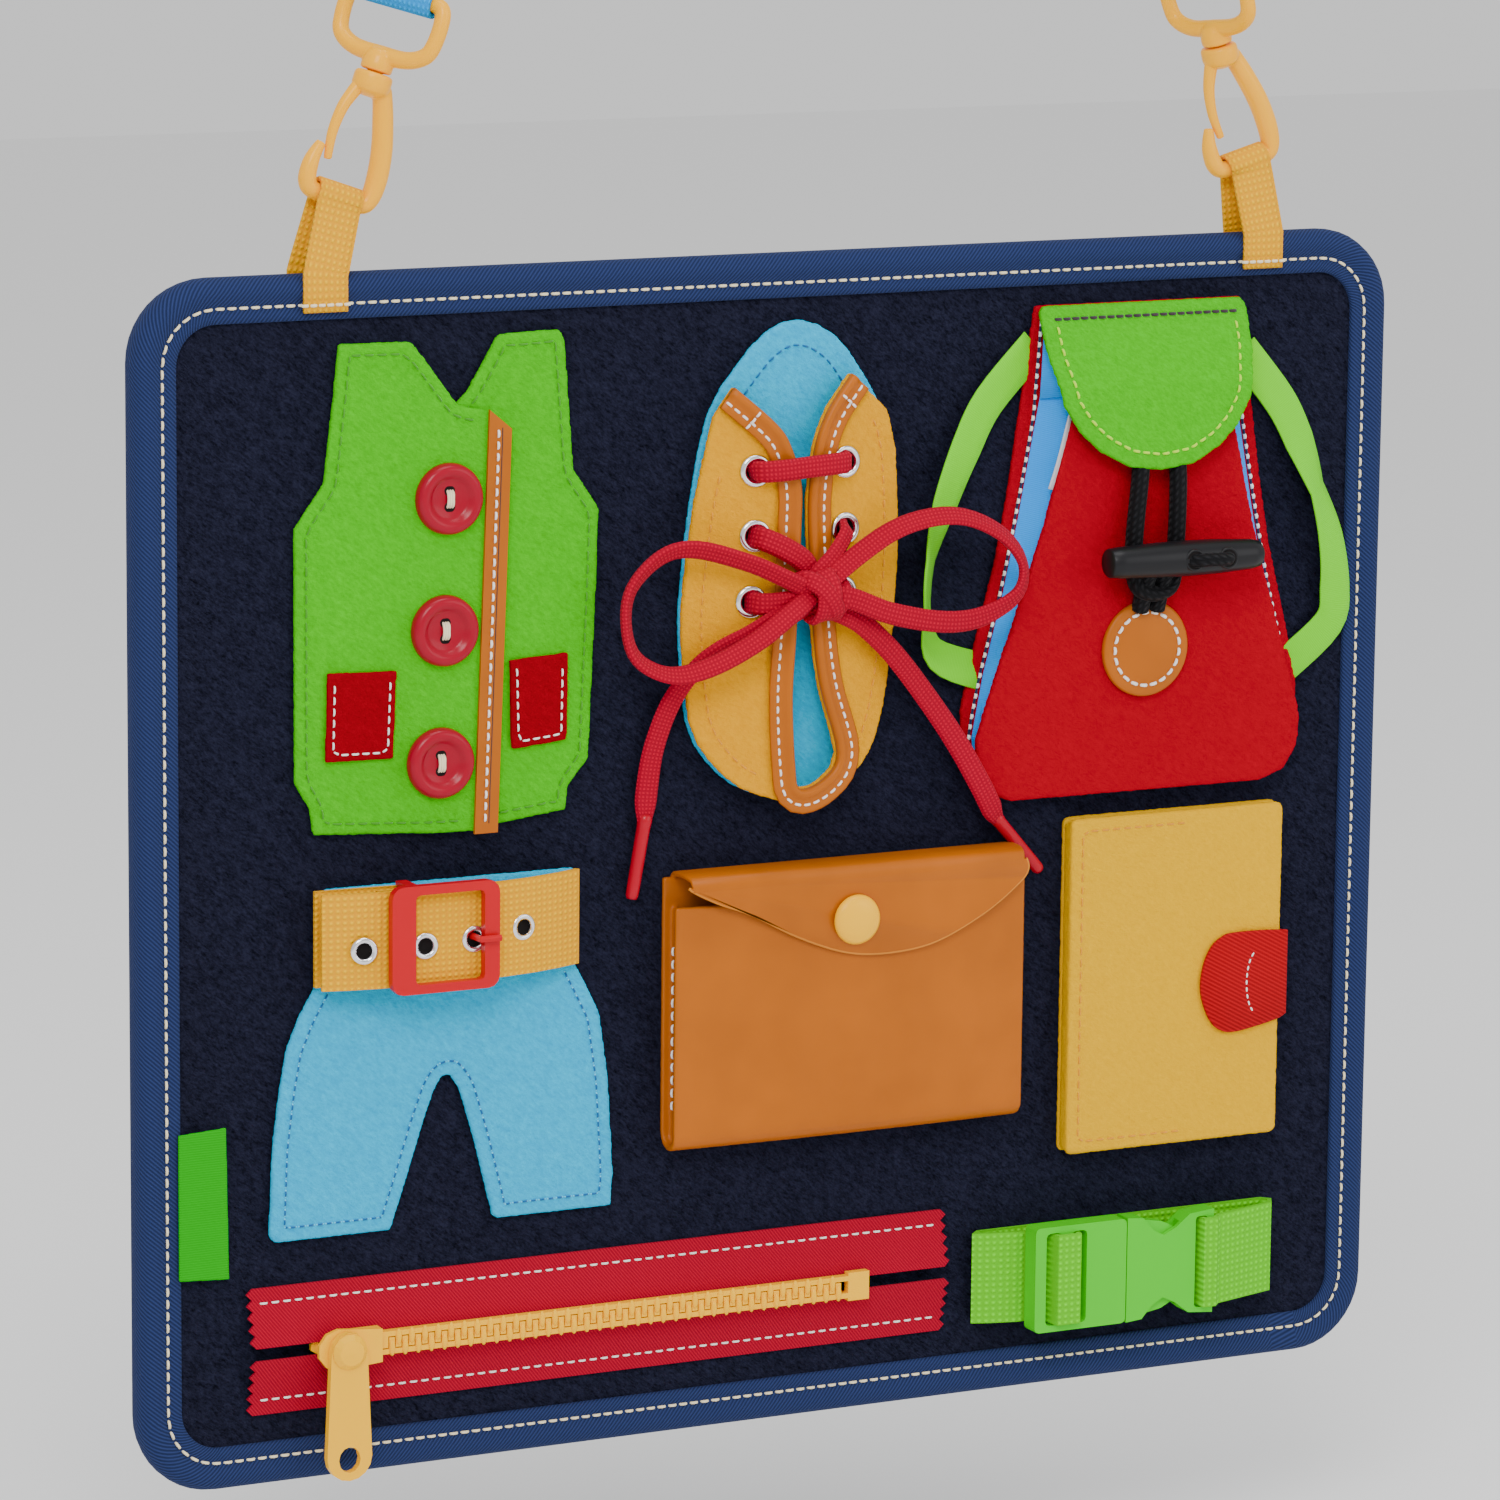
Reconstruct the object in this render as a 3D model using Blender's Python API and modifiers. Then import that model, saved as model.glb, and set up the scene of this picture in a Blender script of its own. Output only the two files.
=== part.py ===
"""Dressing skills board: a felt busy board that hangs from a shoulder strap.

The board stands upright in the X-Z plane and faces -Y. The origin is the top of the
strap, where it hangs. Places on the board are given from its lower left corner:
u to the right, v up and d outward from the face of the front felt.
"""
import math

import bmesh
import bpy
from mathutils import Matrix, Vector

MM = 0.001

# Board and its layers
BOARD_WIDTH = 350 * MM
BOARD_HEIGHT = 300 * MM
BOARD_CORNER = 20 * MM
FRONT_FELT = 1.8 * MM
STIFFENER = 2.0 * MM
BACK_FELT = 1.5 * MM
BINDING_WIDTH = 11 * MM
BINDING_TAPE = 0.8 * MM
STIFFENER_INSET = 8 * MM
GAP = 0.3 * MM
OVERRUN = 2 * MM

# Cloth and sheet that the toys are made of
FELT = 1.5 * MM
LEATHER = 1.2 * MM
WEBBING = 1.2 * MM
RIBBON = 0.6 * MM

# Strap, rings and hooks
STRAP_WIDTH = 20 * MM
STRAP_TOP_RADIUS = 50 * MM
STRAP_BACK_LEG = 45 * MM
RING_WIDTH = 25 * MM
RING_HEIGHT = 15 * MM
RING_ROD = 2.0 * MM
HOOK_ROD = 2.2 * MM
HOOK_LENGTH = 29 * MM
HOOK_HALF_WIDTH = 8.8 * MM
COLLAR_RADIUS = 4.8 * MM
COLLAR_HEIGHT = 5 * MM
STEM_RADIUS = 1.8 * MM
GATE_ROD = 1.3 * MM
LOOP_WIDTH = 11.5 * MM
LOOP_CLEARANCE = 0.35 * MM
LOOP_SEWN = 9 * MM
HOOK_RISE = 18 * MM
HOOKS = {
    "left": {"bight": (54 * MM, BOARD_HEIGHT + HOOK_RISE), "lean": 19, "turn": 50, "foot": 49 * MM},
    "right": {"bight": (BOARD_WIDTH - 42 * MM, BOARD_HEIGHT + HOOK_RISE), "lean": -16, "turn": 70,
              "foot": BOARD_WIDTH - 39 * MM},
}

HALF_BOARD = STIFFENER / 2 + GAP + FRONT_FELT
FACE_Y = -HALF_BOARD
BINDING_DEPTH = GAP + BINDING_TAPE

COLOURS = {
    "navy_felt": ((0.010, 0.012, 0.030), 0.95),
    "navy_tape": ((0.018, 0.030, 0.095), 0.85),
    "core_board": ((0.55, 0.50, 0.42), 0.80),
    "gold_webbing": ((0.95, 0.48, 0.01), 0.80),
    "cyan_webbing": ((0.02, 0.32, 0.66), 0.80),
    "amber_plastic": ((0.95, 0.42, 0.05), 0.35),
    "green_felt": ((0.22, 0.52, 0.01), 0.95),
    "crimson_felt": ((0.45, 0.005, 0.015), 0.95),
    "brown_leather": ((0.45, 0.20, 0.08), 0.55),
    "red_plastic": ((0.62, 0.005, 0.012), 0.20),
    "blue_felt": ((0.09, 0.48, 0.85), 0.95),
    "yellow_felt": ((0.93, 0.60, 0.02), 0.95),
    "red_lace": ((0.62, 0.006, 0.02), 0.75),
    "blue_satin": ((0.0, 0.30, 0.66), 0.35),
    "lime_satin": ((0.40, 0.72, 0.02), 0.40),
    "black_cord": ((0.01, 0.01, 0.01), 0.60),
    "lime_plastic": ((0.16, 0.48, 0.02), 0.35),
    "lime_webbing": ((0.30, 0.66, 0.02), 0.80),
    "yellow_plastic": ((0.95, 0.52, 0.01), 0.35),
    "green_tape": ((0.02, 0.33, 0.08), 0.80),
}


def direction(lean):
    """Unit vector in the board's plane, leaning to the right of upright by lean degrees."""
    angle = math.radians(lean)
    return Vector((math.sin(angle), 0, math.cos(angle)))


def strap_apex():
    """Where the two straight legs of the strap would meet, as (u, v)."""
    left, right = HOOKS["left"], HOOKS["right"]
    slope_left = math.tan(math.radians(left["lean"]))
    slope_right = math.tan(math.radians(right["lean"]))
    rise = (right["bight"][0] - left["bight"][0]) / (slope_left - slope_right)
    return left["bight"][0] + slope_left * rise, left["bight"][1] + rise


def strap_top_centre():
    """Centre of the arc at the top of the strap, as (u, v)."""
    apex_u, apex_v = strap_apex()
    left, right = HOOKS["left"]["lean"], HOOKS["right"]["lean"]
    half = math.radians((left - right) / 2)
    down = direction((left + right) / 2)
    reach = STRAP_TOP_RADIUS / math.sin(half)
    return apex_u - down.x * reach, apex_v - down.z * reach


TOP_U, TOP_V = strap_top_centre()
HANG_U = TOP_U
HANG_V = TOP_V + STRAP_TOP_RADIUS - WEBBING / 2


def at(u, v, d=0.0):
    """World point of board place u, v at depth d in front of the felt."""
    return Vector((u - HANG_U, FACE_Y - d, v - HANG_V))


def material(name):
    """The named material, made once."""
    found = bpy.data.materials.get(name)
    if found:
        return found
    colour, roughness = COLOURS[name]
    made = bpy.data.materials.new(name)
    made.use_nodes = True
    shader = made.node_tree.nodes["Principled BSDF"]
    shader.inputs["Base Color"].default_value = (*colour, 1)
    shader.inputs["Roughness"].default_value = roughness
    shader.inputs["Metallic"].default_value = 0.0
    return made


def clear_scene():
    """Remove every object, and make the two collections."""
    for old in list(bpy.data.objects):
        bpy.data.objects.remove(old, do_unlink=True)
    for name in ("dressing_skills_board", "cutters"):
        made = bpy.data.collections.new(name)
        bpy.context.scene.collection.children.link(made)


def add(name, data, mat, group="dressing_skills_board"):
    """Link an object of the given data, with its material."""
    made = bpy.data.objects.new(name, data)
    bpy.data.collections[group].objects.link(made)
    if mat:
        data.materials.append(material(mat))
    return made


def smooth(obj, angle=40):
    """Shade a round piece smooth, with its edges kept."""
    obj.data.shade_smooth()
    obj.data.set_sharp_from_angle(angle=math.radians(angle))
    return obj


def curve_to_mesh(obj, mat):
    """Turn a curve object into a closed mesh object of the same name."""
    bpy.context.view_layer.update()
    graph = bpy.context.evaluated_depsgraph_get()
    mesh = bpy.data.meshes.new_from_object(obj.evaluated_get(graph))
    mesh.transform(obj.matrix_world)
    name = obj.name
    bpy.data.objects.remove(obj, do_unlink=True)
    shape = bmesh.new()
    shape.from_mesh(mesh)
    bmesh.ops.remove_doubles(shape, verts=shape.verts, dist=0.001 * MM)
    bmesh.ops.recalc_face_normals(shape, faces=shape.faces)
    shape.to_mesh(mesh)
    shape.free()
    mesh.materials.clear()
    mesh.name = name
    return add(name, mesh, mat)


def plate(name, outlines, back, thickness, mat):
    """A flat piece on the board: closed outlines of (u, v), the later ones being holes."""
    curve = bpy.data.curves.new(name, "CURVE")
    curve.dimensions = "2D"
    curve.fill_mode = "BOTH"
    curve.extrude = thickness / 2
    for outline in outlines:
        spline = curve.splines.new("POLY")
        spline.points.add(len(outline) - 1)
        for point, (u, v) in zip(spline.points, outline):
            point.co = (u, v, 0, 1)
        spline.use_cyclic_u = True
    made = add(name, curve, None)
    made.rotation_euler = (math.radians(90), 0, 0)
    made.location = at(0, 0, back + thickness / 2)
    return curve_to_mesh(made, mat)


def tube(name, points, radius, mat, closed=False):
    """A round rod, cord or wire along world points."""
    curve = bpy.data.curves.new(name, "CURVE")
    curve.dimensions = "3D"
    curve.bevel_depth = radius
    curve.bevel_resolution = 1
    curve.use_fill_caps = not closed
    spline = curve.splines.new("POLY")
    spline.points.add(len(points) - 1)
    for point, place in zip(spline.points, points):
        point.co = (*place, 1)
    spline.use_cyclic_u = closed
    return smooth(curve_to_mesh(add(name, curve, None), mat))


def ribbon(name, centre, across, width, thickness, mat):
    """A strip of cloth: centre line, direction of its width at each point, and its sizes."""
    shape = bmesh.new()
    rows = []
    for point, side in zip(centre, across):
        half = Vector(side).normalized() * width / 2
        rows.append((shape.verts.new(point - half), shape.verts.new(point + half)))
    for low, high in zip(rows, rows[1:]):
        shape.faces.new((low[0], low[1], high[1], high[0]))
    mesh = bpy.data.meshes.new(name)
    shape.to_mesh(mesh)
    shape.free()
    made = add(name, mesh, mat)
    solid = made.modifiers.new("thickness", "SOLIDIFY")
    solid.thickness = thickness
    solid.offset = 0
    solid.use_even_offset = True
    return made


def sweep(name, sections, mat, closed=False):
    """A loft through sections of world points, with flat ends unless it closes on itself."""
    shape = bmesh.new()
    rings = [[shape.verts.new(point) for point in section] for section in sections]
    pairs = list(zip(rings, rings[1:]))
    if closed:
        pairs.append((rings[-1], rings[0]))
    for one, two in pairs:
        for i in range(len(one)):
            j = (i + 1) % len(one)
            shape.faces.new((one[i], one[j], two[j], two[i]))
    if not closed:
        shape.faces.new(rings[0])
        shape.faces.new(rings[-1])
    bmesh.ops.recalc_face_normals(shape, faces=shape.faces)
    mesh = bpy.data.meshes.new(name)
    shape.to_mesh(mesh)
    shape.free()
    return add(name, mesh, mat)


def turned(name, profile, matrix, mat, sides=24):
    """A turned piece: (radius, height) profile round the local Z axis of matrix."""
    shape = bmesh.new()
    verts = [shape.verts.new((radius, 0, height)) for radius, height in profile]
    for one, two in zip(verts, verts[1:]):
        shape.edges.new((one, two))
    mesh = bpy.data.meshes.new(name)
    shape.to_mesh(mesh)
    shape.free()
    made = add(name, mesh, mat)
    made.matrix_world = matrix
    screw = made.modifiers.new("turn", "SCREW")
    screw.steps = screw.render_steps = sides
    screw.use_merge_vertices = True
    screw.merge_threshold = 0.001 * MM
    screw.use_normal_calculate = True
    return made


def rod(name, start, end, radius, mat, sides=20):
    """A straight cylinder between two world points."""
    shape = bmesh.new()
    line = Vector(end) - Vector(start)
    turn = line.to_track_quat("Z", "Y").to_matrix().to_4x4()
    middle = Matrix.Translation((Vector(start) + Vector(end)) / 2)
    bmesh.ops.create_cone(shape, cap_ends=True, segments=sides, radius1=radius,
                          radius2=radius, depth=line.length, matrix=middle @ turn)
    mesh = bpy.data.meshes.new(name)
    shape.to_mesh(mesh)
    shape.free()
    return smooth(add(name, mesh, mat))


def block(name, low, high, mat):
    """A box between two opposite (u, v, d) corners on the board."""
    one, two = at(*low), at(*high)
    shape = bmesh.new()
    size = Matrix.Diagonal([abs(a - b) for a, b in zip(one, two)]).to_4x4()
    bmesh.ops.create_cube(shape, size=1, matrix=Matrix.Translation((one + two) / 2) @ size)
    mesh = bpy.data.meshes.new(name)
    shape.to_mesh(mesh)
    shape.free()
    return add(name, mesh, mat)


def combine(target, other, operation):
    """Join, cut or keep the overlap of a piece with a hidden helper."""
    for group in list(other.users_collection):
        group.objects.unlink(other)
    bpy.data.collections["cutters"].objects.link(other)
    other.hide_render = True
    other.display_type = "WIRE"
    change = target.modifiers.new(operation.lower(), "BOOLEAN")
    change.operation = operation
    change.solver = "EXACT"
    change.object = other
    return target


def rounded(obj, radius, segments=2):
    """Round a piece's sharp edges."""
    edge = obj.modifiers.new("round", "BEVEL")
    edge.width = radius
    edge.segments = segments
    edge.limit_method = "ANGLE"
    return smooth(obj)


def joint(name, place, *pieces):
    """An empty on a joint's axis, carrying its pieces."""
    made = bpy.data.objects.new(name, None)
    bpy.data.collections["dressing_skills_board"].objects.link(made)
    made.location = place
    bpy.context.view_layer.update()
    for piece in pieces:
        piece.parent = made
        piece.matrix_parent_inverse = made.matrix_world.inverted()
    return made


def catmull(points, steps, closed=False):
    """Points along a smooth curve through the given ones."""
    points = [Vector(p) for p in points]
    count = len(points)
    made = []
    for i in range(count if closed else count - 1):
        if closed:
            a, b, c, e = (points[(i + k) % count] for k in (-1, 0, 1, 2))
        else:
            a, b, c, e = (points[min(max(i + k, 0), count - 1)] for k in (-1, 0, 1, 2))
        for k in range(steps):
            t = k / steps
            made.append(0.5 * (2 * b + (c - a) * t + (2 * a - 5 * b + 4 * c - e) * t ** 2
                               + (3 * b - a - 3 * c + e) * t ** 3))
    if not closed:
        made.append(points[-1])
    return made


def from_shares(shares, left, bottom, width, height):
    """Board places of an outline given as shares of its width and height."""
    return [(left + x * width, bottom + y * height) for x, y in shares]


def arc(centre, radius, start, end, steps):
    """(x, y) points of an arc, angles in degrees."""
    turns = [math.radians(start + (end - start) * i / steps) for i in range(steps + 1)]
    return [(centre[0] + radius * math.cos(t), centre[1] + radius * math.sin(t)) for t in turns]


def circle(centre, radius, sides=16):
    """A closed circle of (x, y) points."""
    return arc(centre, radius, 0, 360 * (sides - 1) / sides, sides - 1)


def rounded_rect(left, bottom, right, top, radius, steps=5):
    """A rectangle with round corners, anticlockwise from the lower left."""
    corners = ((right - radius, bottom + radius, -90), (right - radius, top - radius, 0),
               (left + radius, top - radius, 90), (left + radius, bottom + radius, 180))
    points = []
    for u, v, start in corners:
        points += arc((u, v), radius, start, start + 90, steps)
    return points


def hook_frame(side):
    """Matrix whose Z runs up the hook from its bight and whose X runs to its right."""
    spec = HOOKS[side]
    up = direction(spec["lean"])
    right = Vector((up.z, 0, -up.x))
    place = at(*spec["bight"], -HALF_BOARD)
    columns = Matrix((right, Vector((0, 1, 0)), up)).transposed().to_4x4()
    return Matrix.Translation(place) @ columns


def ring_frame(side):
    """The hook's frame turned on its swivel, as the ring hangs in the strap."""
    return hook_frame(side) @ Matrix.Rotation(math.radians(-HOOKS[side]["turn"]), 4, "Z")


def make_hook(side):
    """Snap hook: bent rod with a collar, and the gate inside its mouth."""
    frame = hook_frame(side)
    half, rod_r, top = HOOK_HALF_WIDTH, HOOK_ROD, HOOK_LENGTH
    shares = [(-0.98, 0.36), (-1.02, 0.2), (-0.98, 0.06), (-0.76, 0), (0, 0),
              (0.76, 0), (0.98, 0.07), (0.98, 0.26), (0.85, 0.5), (0.6, 0.75), (0.36, 0.97)]
    route = catmull([(x * half, 0, z * top) for x, z in shares], 2)
    body = tube(side + "_hook", [frame @ p for p in route], rod_r, "amber_plastic")
    low = frame @ Vector((0, 0, top - COLLAR_HEIGHT / 2))
    high = frame @ Vector((0, 0, top + COLLAR_HEIGHT / 2))
    collar = rod(side + "_collar", low, high, COLLAR_RADIUS, None)
    combine(body, collar, "UNION")
    bore_low = frame @ Vector((0, 0, top - COLLAR_HEIGHT / 4 - GAP))
    bore_high = frame @ Vector((0, 0, top + COLLAR_HEIGHT))
    combine(body, rod(side + "_bore", bore_low, bore_high, STEM_RADIUS + GAP, None), "DIFFERENCE")
    gate_shares = [(-0.42, 0.88), (-0.62, 0.72), (-0.68, 0.5), (-0.56, 0.3)]
    gate_route = catmull([(x * half, 0, z * top) for x, z in gate_shares], 2)
    gate = tube(side + "_gate", [frame @ p for p in gate_route], GATE_ROD, "amber_plastic")
    clear = tube(side + "_gate_seat", [frame @ p for p in gate_route[:3]], GATE_ROD + GAP, None)
    combine(body, clear, "DIFFERENCE")
    joint(side + "_gate_hinge", frame @ gate_route[0], gate)
    joint(side + "_swivel", frame @ Vector((0, 0, top)), body)


def ring_outline(side):
    """World points round the middle of a ring's rod."""
    low = HOOK_LENGTH + COLLAR_HEIGHT + RING_ROD
    outline = rounded_rect(-RING_WIDTH / 2, low, RING_WIDTH / 2, low + RING_HEIGHT,
                           RING_HEIGHT * 0.14, 3)
    return [ring_frame(side) @ Vector((x, 0, z)) for x, z in outline]


def make_ring(side):
    """D ring with the boss and stem that turn in the hook's collar."""
    frame = ring_frame(side)
    ring = tube(side + "_ring", ring_outline(side), RING_ROD, "amber_plastic", closed=True)
    seat = HOOK_LENGTH + COLLAR_HEIGHT / 2
    boss = rod(side + "_boss", frame @ Vector((0, 0, seat + GAP)),
               frame @ Vector((0, 0, seat + COLLAR_HEIGHT)), COLLAR_RADIUS * 0.85, None)
    stem = rod(side + "_stem", frame @ Vector((0, 0, HOOK_LENGTH - COLLAR_HEIGHT / 4)),
               frame @ Vector((0, 0, seat + COLLAR_HEIGHT / 2)), STEM_RADIUS, None)
    combine(ring, boss, "UNION")
    combine(ring, stem, "UNION")


def strap_leg(side):
    """Centre line and width directions of one end: its back leg, fold and rising leg."""
    frame = ring_frame(side)
    bar = HOOK_LENGTH + COLLAR_HEIGHT + RING_ROD + RING_HEIGHT
    bend = RING_ROD + GAP + WEBBING / 2
    close = WEBBING / 2 + GAP / 2
    across = frame.to_3x3() @ Vector((1, 0, 0))
    local = [(close, bar + STRAP_BACK_LEG), (close, bar + bend * 3)]
    local += [(bend * math.sin(math.radians(a)), bar - bend * math.cos(math.radians(a)))
              for a in range(100, -101, -25)]
    local += [(-close, bar + bend * 3), (-close, bar + STRAP_BACK_LEG)]
    points = [frame @ Vector((0, y, z)) for y, z in local]
    return points, [across] * len(points)


def make_strap():
    """The webbing from one ring over the top to the other, turning edge-on as it rises."""
    left_points, left_sides = strap_leg("left")
    right_points, right_sides = strap_leg("right")
    lean_left, lean_right = HOOKS["left"]["lean"], HOOKS["right"]["lean"]
    top = [at(u, v, -HALF_BOARD) for u, v in
           arc((TOP_U, TOP_V), STRAP_TOP_RADIUS, 180 - lean_left, -lean_right, 12)]
    depth = Vector((0, 1, 0))
    centre, across = list(left_points), list(left_sides)
    steps = 8
    for k in range(1, steps):
        t = k / steps
        centre.append(left_points[-1].lerp(top[0], t))
        across.append(left_sides[-1].lerp(-depth, t))
    centre += top
    across += [-depth] * len(top)
    for k in range(1, steps):
        t = k / steps
        centre.append(top[-1].lerp(right_points[-1], t))
        across.append((-depth).lerp(right_sides[-1], t))
    centre += reversed(right_points)
    across += reversed(right_sides)
    ribbon("strap", centre, across, STRAP_WIDTH, WEBBING, "cyan_webbing")


def make_loop(side):
    """Golden webbing loop: front leg, turn round the hook's bight, back leg."""
    spec = HOOKS[side]
    frame = hook_frame(side)
    bend = HOOK_ROD + LOOP_CLEARANCE + WEBBING / 2
    rest = HALF_BOARD + BINDING_DEPTH + GAP + WEBBING / 2
    back = STIFFENER / 2 + GAP + BACK_FELT + BINDING_DEPTH + GAP + WEBBING / 2
    upright, leaning = Vector((1, 0, 0)), frame.to_3x3() @ Vector((1, 0, 0))
    foot = at(spec["foot"], BOARD_HEIGHT, -HALF_BOARD)
    foot_front = Vector((foot.x, -rest, foot.z))
    foot_back = Vector((foot.x, back, foot.z))
    down = Vector((0, 0, -LOOP_SEWN))
    turn = [frame @ Vector((0, -bend * math.cos(math.radians(a)), bend * math.sin(math.radians(a))))
            for a in range(-20, 201, 22)]
    centre = [foot_front + down, foot_front] + turn + [foot_back, foot_back + down]
    across = [upright, upright] + [leaning] * len(turn) + [upright, upright]
    loop = ribbon(side + "_loop", centre, across, LOOP_WIDTH, WEBBING, "gold_webbing")
    return loop


def make_board():
    """Front felt, stiffening sheet, back felt and the tape that binds their edges."""
    inset = BINDING_TAPE + GAP
    felt = rounded_rect(inset, inset, BOARD_WIDTH - inset, BOARD_HEIGHT - inset,
                        BOARD_CORNER - inset)
    core = rounded_rect(STIFFENER_INSET, STIFFENER_INSET, BOARD_WIDTH - STIFFENER_INSET,
                        BOARD_HEIGHT - STIFFENER_INSET, BOARD_CORNER - STIFFENER_INSET)
    front = plate("front_felt", [felt], -FRONT_FELT, FRONT_FELT, "navy_felt")
    plate("stiffener", [core], -FRONT_FELT - GAP - STIFFENER, STIFFENER, "core_board")
    plate("back_felt", [felt], -FRONT_FELT - GAP - STIFFENER - GAP - BACK_FELT, BACK_FELT,
          "navy_felt")
    front_y = -HALF_BOARD - GAP
    back_y = STIFFENER / 2 + GAP + BACK_FELT + GAP
    tape = BINDING_TAPE
    profile = [(BINDING_WIDTH, front_y), (BINDING_WIDTH, front_y - tape),
               (tape, front_y - tape), (0, front_y), (0, back_y), (tape, back_y + tape),
               (BINDING_WIDTH, back_y + tape), (BINDING_WIDTH, back_y), (tape, back_y),
               (tape, front_y)]
    paths = [rounded_rect(i, i, BOARD_WIDTH - i, BOARD_HEIGHT - i, BOARD_CORNER - i)
             for i, _ in profile]
    sections = []
    for k in range(len(paths[0])):
        sections.append([Vector((path[k][0] - HANG_U, y, path[k][1] - HANG_V))
                         for path, (_, y) in zip(paths, profile)])
    sweep("edge_binding", sections, "navy_tape", closed=True)
    return front


LABEL_LEFT = 10 * MM
LABEL_BOTTOM = 54 * MM
LABEL_WIDTH = 13 * MM
LABEL_HEIGHT = 38 * MM


def make_label():
    """The folded side label, bare, sewn at its left edge."""
    outline = from_shares([(0, 0.02), (1, 0), (0.95, 1), (0, 0.98)], LABEL_LEFT, LABEL_BOTTOM,
                          LABEL_WIDTH, LABEL_HEIGHT)
    plate("label_tab", [outline], BINDING_DEPTH + GAP, RIBBON, "green_tape")


def bend(obj, axis, cuts, rise):
    """Bend a flat piece outward: rise(place) along u or v, with edges added at the cuts."""
    shape = bmesh.new()
    shape.from_mesh(obj.data)
    column = 0 if axis == "u" else 2
    offset = HANG_U if axis == "u" else HANG_V
    normal = Vector((1, 0, 0)) if axis == "u" else Vector((0, 0, 1))
    for cut in cuts:
        geometry = list(shape.verts) + list(shape.edges) + list(shape.faces)
        bmesh.ops.bisect_plane(shape, geom=geometry, plane_co=normal * (cut - offset),
                               plane_no=normal, dist=0.001 * MM)
    for vert in shape.verts:
        vert.co.y -= rise(vert.co[column] + offset)
    shape.to_mesh(obj.data)
    shape.free()
    return obj


def ramp(low, high, height):
    """A rise from nothing at low to height at high, straight between."""
    return lambda place: height * min(max((place - low) / (high - low), 0), 1)


# Vest
VEST_LEFT = 41 * MM
VEST_BOTTOM = 161 * MM
VEST_WIDTH = 81.5 * MM
VEST_HEIGHT = 123 * MM
VEST_HINGE_INSET = 3 * MM
BUTTON_RADIUS = 8.9 * MM
BUTTON_THICK = 2.6 * MM
SHANK_RADIUS = 1.6 * MM
BUTTONHOLE = 10 * MM
POCKET_CLOTH = 1.0 * MM
TRIM_LEATHER = 0.8 * MM
VEST_OVERLAP_SHARE = 0.40
VEST_STEP_SHARE = 0.06
LEFT_FRONT_SHARES = [(0.06, 0.016), (0.31, 0.006), (0.645, 0), (0.69, 0.81), (0.62, 0.847),
                     (0.52, 0.86), (0.372, 0.99), (0.144, 0.992), (0.13, 0.90), (0.096, 0.717),
                     (0, 0.63), (0, 0.122), (0.049, 0.07)]
RIGHT_FRONT_SHARES = [(0.41, 0.007), (0.65, 0.007), (0.893, 0.026), (0.898, 0.073),
                      (0.967, 0.128), (0.99, 0.466), (0.998, 0.636), (0.913, 0.717),
                      (0.881, 0.981), (0.863, 1), (0.663, 0.996), (0.566, 0.889),
                      (0.52, 0.858), (0.41, 0.83)]
TRIM_SHARES = [(0.571, -0.004), (0.648, -0.004), (0.691, 0.81), (0.618, 0.85)]
BUTTON_SHARES = [(0.487, 0.676), (0.474, 0.412), (0.46, 0.145)]
POCKET_SHARES = {
    "left": [(0.093, 0.163), (0.312, 0.16), (0.323, 0.336), (0.1, 0.34)],
    "right": [(0.703, 0.16), (0.886, 0.171), (0.891, 0.348), (0.696, 0.341)],
}


def vest_place(shares):
    """Board places of vest outline shares."""
    return from_shares(shares, VEST_LEFT, VEST_BOTTOM, VEST_WIDTH, VEST_HEIGHT)


def facing(u, v, d):
    """Matrix at a board place whose Z points outward from the board."""
    return Matrix.Translation(at(u, v, d)) @ Matrix.Rotation(math.radians(90), 4, "X")


def make_vest():
    """Two felt fronts, the left over the right, with trim, buttons and pockets."""
    right = plate("vest_right_front", [vest_place(RIGHT_FRONT_SHARES)], GAP, FELT, "green_felt")
    step = FELT + GAP
    buttons = vest_place(BUTTON_SHARES)
    slots = [rounded_rect(u - BUTTONHOLE / 2, v - SHANK_RADIUS - GAP, u + BUTTONHOLE / 2,
                          v + SHANK_RADIUS + GAP, SHANK_RADIUS, 3) for u, v in buttons]
    left = plate("vest_left_front", [vest_place(LEFT_FRONT_SHARES)] + slots, GAP, FELT,
                 "green_felt")
    low = VEST_LEFT + (VEST_OVERLAP_SHARE - VEST_STEP_SHARE) * VEST_WIDTH
    high = VEST_LEFT + VEST_OVERLAP_SHARE * VEST_WIDTH
    bend(left, "u", [low, high], ramp(low, high, step))
    top = GAP + step + FELT + GAP
    trim = plate("vest_trim", [vest_place(TRIM_SHARES)], top, TRIM_LEATHER, "brown_leather")
    pocket_left = plate("pocket_left", [vest_place(POCKET_SHARES["left"])], step + GAP,
                        POCKET_CLOTH, "crimson_felt")
    plate("pocket_right", [vest_place(POCKET_SHARES["right"])], step + GAP, POCKET_CLOTH,
          "crimson_felt")
    radius, thick, rise = BUTTON_RADIUS, BUTTON_THICK, top - step - GAP
    profile = [(0, rise + thick * 0.62), (radius * 0.7, rise + thick * 0.66),
               (radius * 0.8, rise + thick * 0.95), (radius * 0.92, rise + thick),
               (radius, rise + thick * 0.75), (radius, rise + thick * 0.3),
               (radius * 0.92, rise), (SHANK_RADIUS, rise), (SHANK_RADIUS, 0), (0, 0)]
    for number, (u, v) in enumerate(buttons, 1):
        turned("button_%d" % number, profile, facing(u, v, step + GAP), "red_plastic", 20)
    hinge = at(VEST_LEFT + VEST_HINGE_INSET, VEST_BOTTOM + VEST_HEIGHT / 2, GAP)
    joint("vest_hinge", hinge, left, trim, pocket_left)
    return right


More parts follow.
